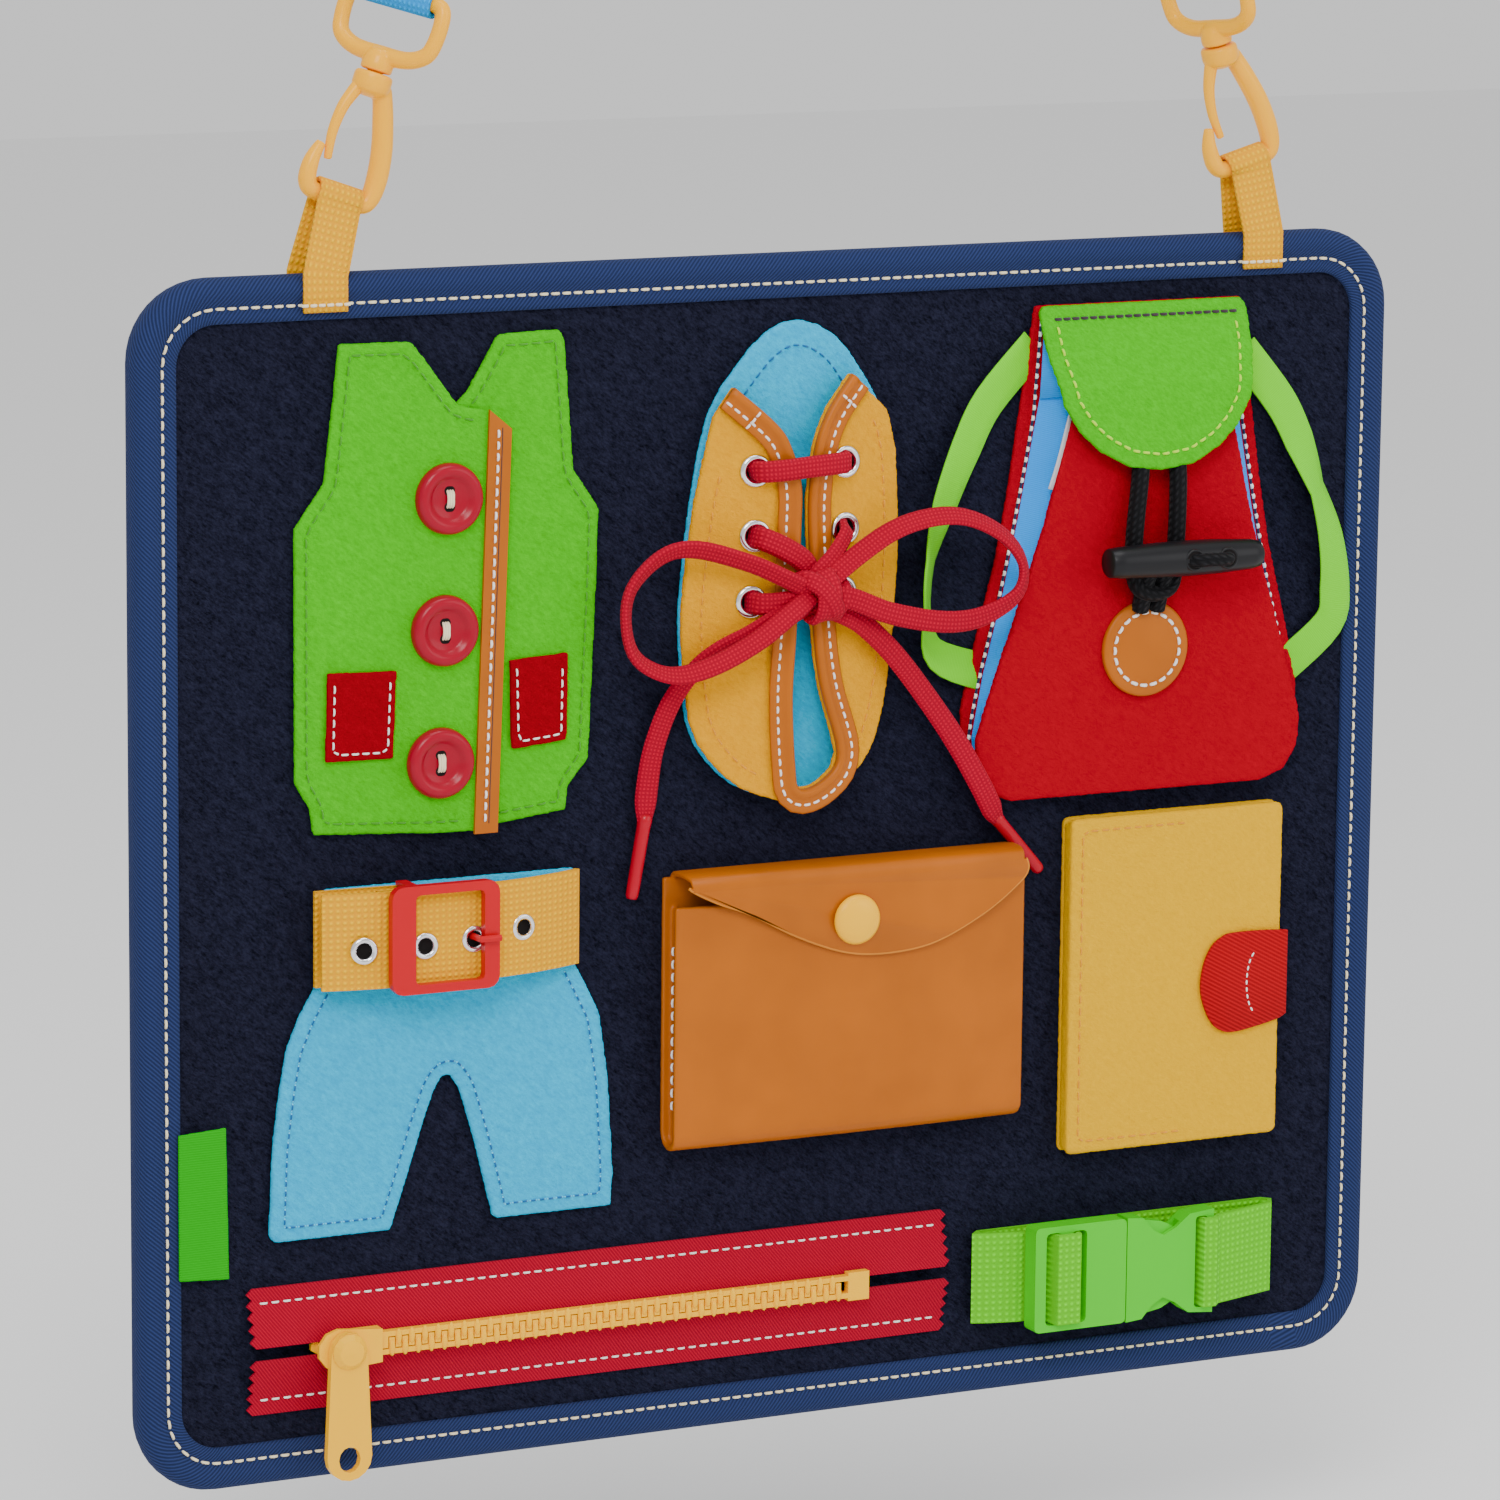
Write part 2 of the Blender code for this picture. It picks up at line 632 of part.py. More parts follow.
# Shoe
SHOE_MIDDLE = 174.8 * MM
SHOE_BOTTOM = 161.7 * MM
SHOE_HALF_WIDTH = 30.2 * MM
SHOE_HEIGHT = 121.8 * MM
SHOE_BULGE = 4 * MM
SHOE_BINDING_WIDTH = 6 * MM
EYELET_RADIUS = 4.0 * MM
EYELET_BORE = 2.5 * MM
EYELET_PLATE = 0.6 * MM
LACE_RADIUS = 1.6 * MM
SHOE_SHARES = [(0.08, 1), (0.42, 0.965), (0.66, 0.893), (0.86, 0.81), (0.96, 0.725),
               (1, 0.56), (0.985, 0.437), (0.91, 0.249), (0.77, 0.117), (0.53, 0.048),
               (0.1, 0.001), (-0.16, 0.012), (-0.49, 0.042), (-0.76, 0.103), (-0.93, 0.185),
               (-1, 0.355), (-0.985, 0.47), (-0.9, 0.643), (-0.75, 0.814), (-0.49, 0.91),
               (-0.215, 0.978)]
UPPER_RIGHT_TURN = 3
UPPER_LEFT_TURN = 19
SLOT_SHARES = [(0.48, 0.89), (0.26, 0.822), (0.14, 0.754), (0.085, 0.672), (0.075, 0.583),
               (0.13, 0.37), (0.21, 0.24), (0.38, 0.103), (0.24, 0.05), (0.02, 0.035),
               (-0.03, 0.085), (-0.06, 0.23), (-0.03, 0.37), (0, 0.57), (0, 0.668),
               (-0.09, 0.744), (-0.225, 0.795), (-0.59, 0.873)]
EYELET_SHARES = {
    "left": [(-0.40, 0.700), (-0.40, 0.566), (-0.43, 0.43)],
    "right": [(0.44, 0.708), (0.44, 0.57), (0.42, 0.438)],
}


def shoe_place(shares):
    """Board places of shoe shares, sideways as shares of the half width from the middle."""
    return [(SHOE_MIDDLE + x * SHOE_HALF_WIDTH, SHOE_BOTTOM + y * SHOE_HEIGHT)
            for x, y in shares]


def shoe_bulge(u):
    """How far the upper stands off the base at a place across the shoe."""
    return SHOE_BULGE * max(1 - ((u - SHOE_MIDDLE) / SHOE_HALF_WIDTH) ** 2, 0)


UPPER_BACK = FELT + GAP + GAP
UPPER_FRONT = UPPER_BACK + FELT


def make_shoe():
    """Felt base, bulging upper with its lacing slot, leather binding and eyelets."""
    outline = shoe_place(SHOE_SHARES)
    base = [(p.x, p.y) for p in catmull([(*p, 0) for p in outline], 2, closed=True)]
    plate("shoe_base", [base], GAP, FELT, "blue_felt")
    slot = shoe_place(SLOT_SHARES)
    round_edge = catmull([(*p, 0) for p in outline[UPPER_RIGHT_TURN:UPPER_LEFT_TURN]], 2)
    round_slot = catmull([(*p, 0) for p in slot], 2)
    upper_outline = [(p.x, p.y) for p in round_edge] + [(p.x, p.y) for p in reversed(round_slot)]
    holes = [circle(place, EYELET_BORE + GAP, 12) for side in EYELET_SHARES.values()
             for place in shoe_place(side)]
    upper = plate("shoe_upper", [upper_outline] + holes, UPPER_BACK, FELT, "yellow_felt")
    count = 10
    cuts = [SHOE_MIDDLE + SHOE_HALF_WIDTH * (2 * i / count - 1) for i in range(1, count)]
    bend(upper, "u", cuts, shoe_bulge)
    centre, across = [], []
    depth = UPPER_FRONT + GAP * 1.5 + LEATHER / 2
    for i, point in enumerate(round_slot):
        ahead = round_slot[min(i + 1, len(round_slot) - 1)]
        behind = round_slot[max(i - 1, 0)]
        along = (ahead - behind).normalized()
        out = Vector((-along.y, along.x, 0))
        middle = point + out * (SHOE_BINDING_WIDTH / 2 + GAP)
        centre.append(at(middle.x, middle.y, depth + shoe_bulge(middle.x)))
        across.append(Vector((out.x, 0, out.y)))
    ribbon("shoe_binding", centre, across, SHOE_BINDING_WIDTH, LEATHER, "brown_leather")


# Lace: routes in millimetres from the board's corner, as (u, v, depth)
KNOT_PLACE = (176.5 * MM, 216 * MM, 13 * MM)
KNOT_RADII = (8 * MM, 6 * MM, 3.6 * MM)
AGLET_RADIUS = 1.8 * MM
AGLET_LENGTH = 20 * MM
LOOP_LEFT_ROUTE = [(174, 217, 13.5), (167, 221, 14), (158, 225, 13), (144, 229, 12),
                   (135, 227.5, 11), (127.5, 220, 10), (126, 211, 10), (128.5, 202.5, 11),
                   (137, 198, 12.5), (147, 199.5, 14), (159, 205, 15), (168, 211, 15),
                   (174, 215, 13.5)]
LOOP_RIGHT_ROUTE = [(179, 217, 13.5), (187, 224.5, 14), (200, 232, 15), (214.5, 234, 16),
                    (226.5, 229.4, 17), (233.5, 221.4, 17), (232.5, 213.4, 17),
                    (223.5, 208, 16), (212.5, 207, 15.5), (197.5, 210, 15), (186, 214.5, 14.5),
                    (179, 216, 13.5)]
TAIL_LEFT_ROUTE = [(165.8, 209.3, 11), (159.5, 206, 10), (151, 202, 8), (145.5, 196.5, 6),
                   (141, 189, 4.2), (137.4, 178, 2.6), (135.8, 168, 2.2), (135.3, 160.5, 2.2)]
TAIL_RIGHT_ROUTE = [(187.5, 209.6, 11), (193.5, 205.5, 10.6), (202, 197.5, 9.5),
                    (212, 185.4, 8.4), (220, 174.4, 8.2), (227, 163.4, 8.2),
                    (231.5, 156.4, 6.6), (234, 153.4, 4.4)]
AGLET_LEFT_ROUTE = [(135.2, 159.8, 2.2), (131.6, 139.6, 2.2)]
AGLET_RIGHT_ROUTE = [(234.6, 152.8, 4.0), (247.9, 138.2, 2.6)]


def route(points, steps=1):
    """World points of a route given in millimetres, smoothed."""
    return catmull([at(u * MM, v * MM, d * MM) for u, v, d in points], steps)


def make_lace():
    """The lace: bar in the top eyelets, bow with its stubs, two free tails with aglets."""
    left, right = shoe_place(EYELET_SHARES["left"]), shoe_place(EYELET_SHARES["right"])
    over = UPPER_FRONT + LEATHER + GAP * 2.5 + LACE_RADIUS
    inside = UPPER_BACK + FELT / 2

    def hole_end(place):
        u, v = place
        return at(u, v, inside + shoe_bulge(u)), at(u, v, over + shoe_bulge(u))

    bar = list(hole_end(left[0])) + list(reversed(hole_end(right[0])))
    middle_u = (left[0][0] + right[0][0]) / 2
    bar.insert(2, at(middle_u, (left[0][1] + right[0][1]) / 2, over + shoe_bulge(middle_u)))
    tube("lace_bar", bar, LACE_RADIUS, "red_lace")
    knot = at(*KNOT_PLACE)
    shape = bmesh.new()
    size = Matrix.Diagonal((KNOT_RADII[0], KNOT_RADII[2], KNOT_RADII[1])).to_4x4()
    bmesh.ops.create_uvsphere(shape, u_segments=12, v_segments=8, radius=1,
                              matrix=Matrix.Translation(knot) @ size)
    mesh = bpy.data.meshes.new("lace_bow")
    shape.to_mesh(mesh)
    shape.free()
    bow = smooth(add("lace_bow", mesh, "red_lace"), 60)
    for number, place in enumerate((left[1], left[2], right[1])):
        low, high = hole_end(place)
        stub = tube("lace_stub_%d" % number, [low, high, high.lerp(knot, 0.5), knot],
                    LACE_RADIUS, None)
        combine(bow, stub, "UNION")
    for number, points in enumerate((LOOP_LEFT_ROUTE, LOOP_RIGHT_ROUTE)):
        combine(bow, tube("lace_loop_%d" % number, route(points, 2), LACE_RADIUS, None), "UNION")
    for side, tail, aglet in (("left", TAIL_LEFT_ROUTE, AGLET_LEFT_ROUTE),
                              ("right", TAIL_RIGHT_ROUTE, AGLET_RIGHT_ROUTE)):
        start, end = route(aglet)
        end = start + (end - start).normalized() * AGLET_LENGTH
        lace = tube("lace_tail_" + side, route(tail, 2) + [start, end.lerp(start, 0.1)],
                    LACE_RADIUS, "red_lace")
        combine(lace, rod("aglet_" + side, start, end, AGLET_RADIUS, None, 10), "UNION")


# Backpack
BAG_MIDDLE = 274.8 * MM
BAG_BOTTOM = 157.5 * MM
BAG_HALF_WIDTH = 50 * MM
BAG_HEIGHT = 126.5 * MM
BAG_DEPTH_LOW = 4.5 * MM
BAG_DEPTH_HIGH = 9 * MM
BAG_MOUTH_SHARE = 0.826
FLAP_HALF_WIDTH = 30.2 * MM
FLAP_HEIGHT = 41.8 * MM
FLAP_TIP_LIFT = 3 * MM
CORD_RADIUS = 1.7 * MM
TOGGLE_CORD_RADIUS = 1.4 * MM
TOGGLE_RADIUS = 4.6 * MM
TOGGLE_LENGTH = 45 * MM
PATCH_RADIUS = 12.3 * MM
BAG_STRAP_WIDTH = 9 * MM
BACK_SHARES = [(0.604, 1), (0.636, 0.913), (0.746, 0.62), (0.81, 0.486), (0.94, 0.29),
               (0.995, 0.19), (0.99, 0.11), (0.92, 0.04), (0.76, 0)]
FRONT_SHARES = [(0.44, BAG_MOUTH_SHARE), (0.48, 0.763), (0.6, 0.573), (0.718, 0.423),
                (0.86, 0.257), (0.96, 0.13), (0.95, 0.07), (0.88, 0.02), (0.74, 0)]
SEAM_SHARES = [(0.57, BAG_MOUTH_SHARE), (0.6, 0.763), (0.69, 0.573), (0.77, 0.423),
               (0.88, 0.257), (0.94, 0.13), (0.925, 0.08), (0.86, 0.03), (0.74, 0.012)]
FLAP_SHARES = [(0, 0), (0.31, 0.03), (0.58, 0.13), (0.76, 0.25), (0.9, 0.41), (0.99, 0.72),
               (1, 0.96), (0.96, 1)]
LEFT_STRAP_ROUTE = [(238, 268.5, 0.9), (231, 260.5, 2.2), (224, 249, 3), (218, 235, 3.4),
                    (214.5, 221, 3.4), (214.5, 207, 3), (217.5, 196, 2), (222.5, 189.5, 0.9)]
RIGHT_STRAP_ROUTE = [(313.2, 264, 0.9), (317, 256.5, 2.2), (322, 246, 3), (327, 233, 3.4),
                     (332, 219, 3.4), (334.5, 206, 3), (333.5, 197, 2.4), (329.5, 190.5, 1.4)]


def bag_place(shares):
    """Board places of bag shares, sideways as shares of the half width from the middle."""
    return [(BAG_MIDDLE + x * BAG_HALF_WIDTH, BAG_BOTTOM + y * BAG_HEIGHT) for x, y in shares]


def mirrored(shares):
    """A right-hand outline from the top down, closed by its left-hand copy."""
    return shares + [(-x, y) for x, y in reversed(shares) if x]


def bag_depth(v):
    """Depth of the back of the bag's front panel at a height."""
    share = (v - BAG_BOTTOM) / (BAG_MOUTH_SHARE * BAG_HEIGHT)
    return BAG_DEPTH_LOW + (BAG_DEPTH_HIGH - BAG_DEPTH_LOW) * share


def make_bag():
    """Felt back, satin gusset, felt front, flap, patch and shoulder straps."""
    plate("bag_back", [bag_place(mirrored(BACK_SHARES))], GAP, FELT, "crimson_felt")
    front = plate("bag_front", [bag_place(mirrored(FRONT_SHARES))], 0, FELT, "crimson_felt")
    bend(front, "v", [], bag_depth)
    sections = []
    seam, edge = bag_place(mirrored(SEAM_SHARES)), bag_place(mirrored(FRONT_SHARES))
    for k, ((su, sv), (eu, ev)) in enumerate(zip(seam, edge)):
        ahead, behind = seam[min(k + 1, len(seam) - 1)], seam[max(k - 1, 0)]
        along = Vector((ahead[0] - behind[0], ahead[1] - behind[1])).normalized()
        inward = Vector((along.y, -along.x)) * RIBBON
        eu, ev = eu + inward.x * 2, ev + inward.y * 2
        back, front_d = GAP + FELT + GAP, bag_depth(ev) - GAP
        sections.append([at(su, sv, back), at(eu, ev, front_d),
                         at(eu + inward.x, ev + inward.y, front_d),
                         at(su + inward.x, sv + inward.y, back)])
    sweep("bag_gusset", sections, "blue_satin")
    flap_bottom = BAG_BOTTOM + BAG_HEIGHT - FLAP_HEIGHT
    outline = [(BAG_MIDDLE + x * FLAP_HALF_WIDTH, flap_bottom + y * FLAP_HEIGHT)
               for x, y in FLAP_SHARES + [(-x, y) for x, y in reversed(FLAP_SHARES) if x]]
    lowest = GAP + FELT + GAP
    flap = plate("bag_flap", [outline], lowest, FELT, "green_felt")
    mouth = BAG_BOTTOM + BAG_MOUTH_SHARE * BAG_HEIGHT
    rise = BAG_DEPTH_HIGH + FELT + GAP * 2 - lowest
    top = BAG_BOTTOM + BAG_HEIGHT
    fold = mouth + FELT

    def lift(v):
        if v > fold:
            return rise * min(max((top - v) / (top - fold), 0), 1)
        return rise + FLAP_TIP_LIFT * (fold - v) / (fold - flap_bottom)

    bend(flap, "v", [fold, flap_bottom + FLAP_HEIGHT * 0.25], lift)
    patch_v = BAG_BOTTOM + BAG_HEIGHT * 0.297
    patch = plate("bag_patch", [circle((BAG_MIDDLE, patch_v), PATCH_RADIUS, 28)],
                  GAP + FELT, TRIM_LEATHER, "brown_leather")
    bend(patch, "v", [], bag_depth)
    for side, points in (("left", LEFT_STRAP_ROUTE), ("right", RIGHT_STRAP_ROUTE)):
        centre = route(points)
        across = []
        for i in range(len(centre)):
            along = centre[min(i + 1, len(centre) - 1)] - centre[max(i - 1, 0)]
            across.append(Vector((along.z, 0, -along.x)))
        ribbon("bag_strap_" + side, centre, across, BAG_STRAP_WIDTH, RIBBON, "lime_satin")
    make_toggle(flap_bottom, lowest + rise + FLAP_TIP_LIFT, patch_v, flap, top, lowest)


def make_toggle(flap_bottom, flap_depth, patch_v, flap, top, lowest):
    """The flap's cord loop, and the toggle on its own cord from the patch."""
    patch_top = patch_v + PATCH_RADIUS
    toggle_v = patch_top + TOGGLE_RADIUS * 2.6
    face = bag_depth(toggle_v) + FELT
    leg = face + GAP * 2 + CORD_RADIUS
    toggle_d = leg + CORD_RADIUS + GAP + TOGGLE_RADIUS
    span = CORD_RADIUS * 3.6
    low = patch_top + CORD_RADIUS + GAP
    own = bag_depth(low) + FELT + GAP * 2 + TOGGLE_CORD_RADIUS
    over = own + TOGGLE_CORD_RADIUS + GAP * 2 + CORD_RADIUS
    loop_top = flap_bottom + FELT
    hang = flap_depth - CORD_RADIUS - GAP * 2
    half = [(BAG_MIDDLE + span, loop_top, hang), (BAG_MIDDLE + span, toggle_v + TOGGLE_RADIUS, leg),
            (BAG_MIDDLE + span, toggle_v - TOGGLE_RADIUS * 0.5, leg),
            (BAG_MIDDLE + span * 0.8, low + CORD_RADIUS, over - GAP * 3),
            (BAG_MIDDLE, low, over)]
    places = half + [(2 * BAG_MIDDLE - u, v, d) for u, v, d in reversed(half[:-1])]
    loop = tube("toggle_loop", catmull([at(*p) for p in places], 3), CORD_RADIUS, "black_cord")
    cord_end = toggle_v - TOGGLE_RADIUS * 0.4
    cord = [at(BAG_MIDDLE, patch_top + GAP, own), at(BAG_MIDDLE, low + CORD_RADIUS, own),
            at(BAG_MIDDLE, cord_end - CORD_RADIUS, own + GAP * 2),
            at(BAG_MIDDLE, cord_end, toggle_d - TOGGLE_RADIUS - TOGGLE_CORD_RADIUS)]
    tube("toggle_cord", catmull(cord, 3), TOGGLE_CORD_RADIUS, "black_cord")
    length, radius = TOGGLE_LENGTH, TOGGLE_RADIUS
    profile = [(0, length / 2), (radius * 0.62, length * 0.49), (radius * 0.72, length * 0.46),
               (radius * 0.97, length * 0.2), (radius, 0), (radius * 0.97, -length * 0.2),
               (radius * 0.72, -length * 0.46), (radius * 0.62, -length * 0.49),
               (0, -length / 2)]
    place = at(BAG_MIDDLE + TOGGLE_LENGTH * 0.13, toggle_v, toggle_d)
    matrix = Matrix.Translation(place) @ Matrix.Rotation(math.radians(90), 4, "Y")
    toggle = turned("toggle", profile, matrix, "black_cord", 14)
    joint("flap_hinge", at(BAG_MIDDLE, top, lowest), flap, loop)
    joint("toggle_hinge", at(BAG_MIDDLE, patch_top, own), toggle)


# Trousers and belt
TROUSERS_LEFT = 34 * MM
TROUSERS_BOTTOM = 61.7 * MM
TROUSERS_WIDTH = 93.3 * MM
TROUSERS_HEIGHT = 87.5 * MM
BELT_WIDTH = 24 * MM
BELT_MIDDLE = 137.2 * MM
BUCKLE_LEFT = 61.5 * MM
BUCKLE_WIDTH = 28.8 * MM
BUCKLE_HEIGHT = 27 * MM
BUCKLE_LEFT_BAR = 6.3 * MM
BUCKLE_RIGHT_BAR = 4.0 * MM
BUCKLE_END_BAR = 2.3 * MM
BUCKLE_THICK = 2.4 * MM
BUCKLE_DEPTH = 11.5 * MM
PIN_RADIUS = 1.3 * MM
PIN_DEPTH = 6 * MM
PRONG_RADIUS = 0.9 * MM
BELT_HOLE = 2.1 * MM
BELT_DRILL = 15 * MM
TROUSERS_SHARES = [(0.015, 0), (0.346, 0), (0.386, 0.123), (0.44, 0.3), (0.475, 0.4),
                   (0.498, 0.435), (0.52, 0.435), (0.547, 0.39), (0.59, 0.24), (0.645, 0.01),
                   (0.66, 0), (0.995, 0), (1, 0.1), (0.984, 0.38), (0.957, 0.57), (0.92, 0.65),
                   (0.88, 0.73), (0.88, 1), (0.16, 1), (0.13, 0.72), (0.087, 0.643),
                   (0.05, 0.55), (0.03, 0.435), (0.01, 0.27), (0, 0.02)]
BELT_ROUTE = [(116.5, 2.8), (110, 5.5), (102, 8), (93, 9.6), (84, 10.2), (76, 10.3),
              (60, 9.9), (52, 8.7), (45.5, 7.2)]
BELT_HOLES = [(55.4, 135), (71.5, 135), (84.8, 135.6), (99, 137)]


def make_trousers():
    """Felt trousers, the belt's long and short webbing, buckle frame and prong."""
    outline = from_shares(TROUSERS_SHARES, TROUSERS_LEFT, TROUSERS_BOTTOM, TROUSERS_WIDTH,
                          TROUSERS_HEIGHT)
    plate("trousers", [outline], GAP, FELT, "blue_felt")
    upright = Vector((0, 0, 1))
    places = [at(u * MM, BELT_MIDDLE, d * MM) for u, d in BELT_ROUTE]
    strap = ribbon("belt_strap", places, [upright] * len(places), BELT_WIDTH, WEBBING,
                   "gold_webbing")
    for number, (u, v) in enumerate(BELT_HOLES):
        hole = rod("belt_hole_%d" % number, at(u * MM, v * MM, 0), at(u * MM, v * MM, BELT_DRILL),
                   BELT_HOLE, None, 12)
        combine(strap, hole, "DIFFERENCE")
    pin_u = BUCKLE_LEFT + BUCKLE_LEFT_BAR
    bend_radius = PIN_RADIUS + GAP + WEBBING / 2
    seat = GAP + FELT + GAP + WEBBING / 2
    start = BELT_ROUTE[-1][0] * MM
    turn = [at(pin_u + bend_radius * math.cos(math.radians(a)), BELT_MIDDLE,
               PIN_DEPTH + bend_radius * math.sin(math.radians(a))) for a in range(-90, 91, 30)]
    lower = [at(start, BELT_MIDDLE, seat), at(start + BELT_WIDTH / 3, BELT_MIDDLE, seat + GAP)]
    upper = [at(pin_u - BELT_WIDTH / 3, BELT_MIDDLE, PIN_DEPTH + bend_radius - GAP)]
    centre = lower + turn + upper
    short = ribbon("belt_short", centre, [upright] * len(centre), BELT_WIDTH, WEBBING,
                   "gold_webbing")
    slit_low = (pin_u - BELT_WIDTH / 4, BELT_MIDDLE - PRONG_RADIUS * 2, seat - WEBBING)
    slit_high = (pin_u + BELT_WIDTH / 2, BELT_MIDDLE + PRONG_RADIUS * 2, BUCKLE_DEPTH)
    combine(short, block("belt_slit", slit_low, slit_high, None), "DIFFERENCE")
    make_buckle(pin_u)


def make_buckle(pin_u):
    """Frame with its prong pin behind, and the prong through the belt."""
    bottom = BELT_MIDDLE - BUCKLE_HEIGHT / 2
    outer = rounded_rect(BUCKLE_LEFT, bottom, BUCKLE_LEFT + BUCKLE_WIDTH,
                         bottom + BUCKLE_HEIGHT, BUCKLE_END_BAR * 1.3, 3)
    inner = rounded_rect(pin_u, bottom + BUCKLE_END_BAR,
                         BUCKLE_LEFT + BUCKLE_WIDTH - BUCKLE_RIGHT_BAR,
                         bottom + BUCKLE_HEIGHT - BUCKLE_END_BAR, BUCKLE_END_BAR / 2, 2)
    frame = plate("belt_buckle", [outer, inner], BUCKLE_DEPTH, BUCKLE_THICK, "red_plastic")
    half = BUCKLE_HEIGHT / 2
    cheek = half - BELT_WIDTH / 2 - GAP
    for sign in (-1, 1):
        edges = sorted((BELT_MIDDLE + sign * (half - GAP / 2), BELT_MIDDLE + sign * (half - cheek)))
        low = (pin_u - PIN_RADIUS - GAP / 2, edges[0], PIN_DEPTH - PIN_RADIUS - GAP / 2)
        high = (pin_u + PIN_RADIUS + GAP / 2, edges[1], BUCKLE_DEPTH + GAP)
        combine(frame, block("cheek_%d" % sign, low, high, None), "UNION")
    pin = rod("buckle_pin", at(pin_u, BELT_MIDDLE - half + GAP, PIN_DEPTH),
              at(pin_u, BELT_MIDDLE + half - GAP, PIN_DEPTH), PIN_RADIUS, None, 12)
    combine(frame, pin, "UNION")
    window = BUCKLE_LEFT + BUCKLE_WIDTH - BUCKLE_RIGHT_BAR
    rise = window - PRONG_RADIUS - 2 * GAP
    over = BUCKLE_DEPTH + BUCKLE_THICK + GAP + PRONG_RADIUS
    eye = PIN_RADIUS + GAP + PRONG_RADIUS
    ring = [at(pin_u + eye * math.cos(math.radians(a)), BELT_MIDDLE,
               PIN_DEPTH + eye * math.sin(math.radians(a))) for a in range(0, 360, 30)]
    prong = tube("belt_prong", ring, PRONG_RADIUS, "red_plastic", closed=True)
    points = [at(pin_u + eye, BELT_MIDDLE, PIN_DEPTH),
              at(rise - eye, BELT_MIDDLE, PIN_DEPTH + eye),
              at(rise - PRONG_RADIUS / 2, BELT_MIDDLE - PRONG_RADIUS,
                 BUCKLE_DEPTH - 2 * WEBBING - PRONG_RADIUS),
              at(rise, BELT_MIDDLE - PRONG_RADIUS, over),
              at(window + BUCKLE_RIGHT_BAR - GAP, BELT_MIDDLE - PRONG_RADIUS, over)]
    combine(prong, tube("prong_shaft", points, PRONG_RADIUS, None), "UNION")
    joint("prong_hinge", at(pin_u, BELT_MIDDLE, PIN_DEPTH), prong)


# Purse
PURSE_LEFT = 141 * MM
PURSE_BOTTOM = 75 * MM
PURSE_WIDTH = 99.5 * MM
PURSE_HEIGHT = 69.5 * MM
PURSE_DEPTH = 8.8 * MM
PURSE_BULGE = 2.2 * MM
PURSE_LIP = 6.5 * MM
PURSE_SIDE_INSET = 2.5 * MM
SNAP_RADIUS = 6.2 * MM
SNAP_THICK = 2.0 * MM
SNAP_SHARES = (0.49, 0.82)
PURSE_FLAP_SHARES = [(0.02, 1.0), (0.02, 0.975), (0.2, 0.86), (0.33, 0.755), (0.47, 0.683),
                     (0.6, 0.668), (0.73, 0.695), (0.87, 0.785), (0.975, 0.895), (0.99, 0.93),
                     (0.975, 0.965), (0.94, 1.0)]


def make_purse():
    """Folded leather pouch with its side walls, flap, snap cap and stud."""
    left, bottom, width, wall = PURSE_LEFT, PURSE_BOTTOM, PURSE_WIDTH, LEATHER
    top = bottom + PURSE_HEIGHT
    sections = []
    count = 6
    for k in range(count + 1):
        share = k / count
        deep = PURSE_DEPTH + PURSE_BULGE * math.sin(math.pi * share)
        radius = (deep - GAP) / 2
        outer = [(top, GAP)] + arc((bottom + radius, GAP + radius), radius, 270, 90, 8)
        outer += [(top - PURSE_LIP, deep)]
        inner = [(top - PURSE_LIP, deep - wall)]
        inner += arc((bottom + radius, GAP + radius), radius - wall, 90, 270, 8)
        inner += [(top, GAP + wall)]
        sections.append([at(left + width * share, v, d) for v, d in outer + inner])
    body = sweep("purse_pouch", sections, "brown_leather")
    for side in (0, 1):
        start = left + PURSE_SIDE_INSET + side * (width - 2 * PURSE_SIDE_INSET - wall)
        low = (start, bottom + wall * 2, GAP + wall / 2)
        high = (start + wall, top - PURSE_LIP - wall, PURSE_DEPTH - wall / 2)
        combine(body, block("purse_side_%d" % side, low, high, None), "UNION")
    flap_back = PURSE_DEPTH + PURSE_BULGE + GAP
    flap_top = top + LEATHER + GAP
    outline = from_shares(PURSE_FLAP_SHARES, left, bottom, width, flap_top - bottom)
    flap = plate("purse_flap", [outline], flap_back, LEATHER, "brown_leather")
    low = (left + width * PURSE_FLAP_SHARES[0][0] + GAP, top + GAP, GAP)
    high = (left + width * PURSE_FLAP_SHARES[-1][0] - GAP, flap_top - GAP / 3,
            flap_back + LEATHER / 2)
    combine(flap, block("purse_fold", low, high, None), "UNION")
    snap_u = left + width * SNAP_SHARES[0]
    snap_v = bottom + PURSE_HEIGHT * SNAP_SHARES[1]
    radius, thick = SNAP_RADIUS, SNAP_THICK
    profile = [(0, thick), (radius * 0.6, thick * 0.9), (radius * 0.9, thick * 0.6),
               (radius, thick * 0.25), (radius * 0.95, 0), (0, 0)]
    cap = turned("snap_cap", profile, facing(snap_u, snap_v, flap_back + LEATHER + GAP),
                 "yellow_plastic", 20)
    joint("purse_hinge", at(left + width / 2, top + GAP + LEATHER / 2, GAP + LEATHER / 2),
          flap, cap)


# Notebook
BOOK_LEFT = 255.7 * MM
BOOK_BOTTOM = 62.5 * MM
BOOK_WIDTH = 63.4 * MM
BOOK_HEIGHT = 88.5 * MM
BOOK_ROOM = 2.4 * MM
TAB_CLOTH = 0.9 * MM
TAB_LENGTH = 26 * MM
TAB_BOTTOM = 91 * MM
TAB_HEIGHT = 26.5 * MM
BOOK_SPINE = 1.5 * MM
TAB_SHARES = [(1, 0.14), (0.9, 0.1), (0.36, 0), (0.12, 0.12), (0, 0.45), (0.05, 0.78),
              (0.2, 0.95), (0.36, 1), (0.94, 1), (1, 0.98)]


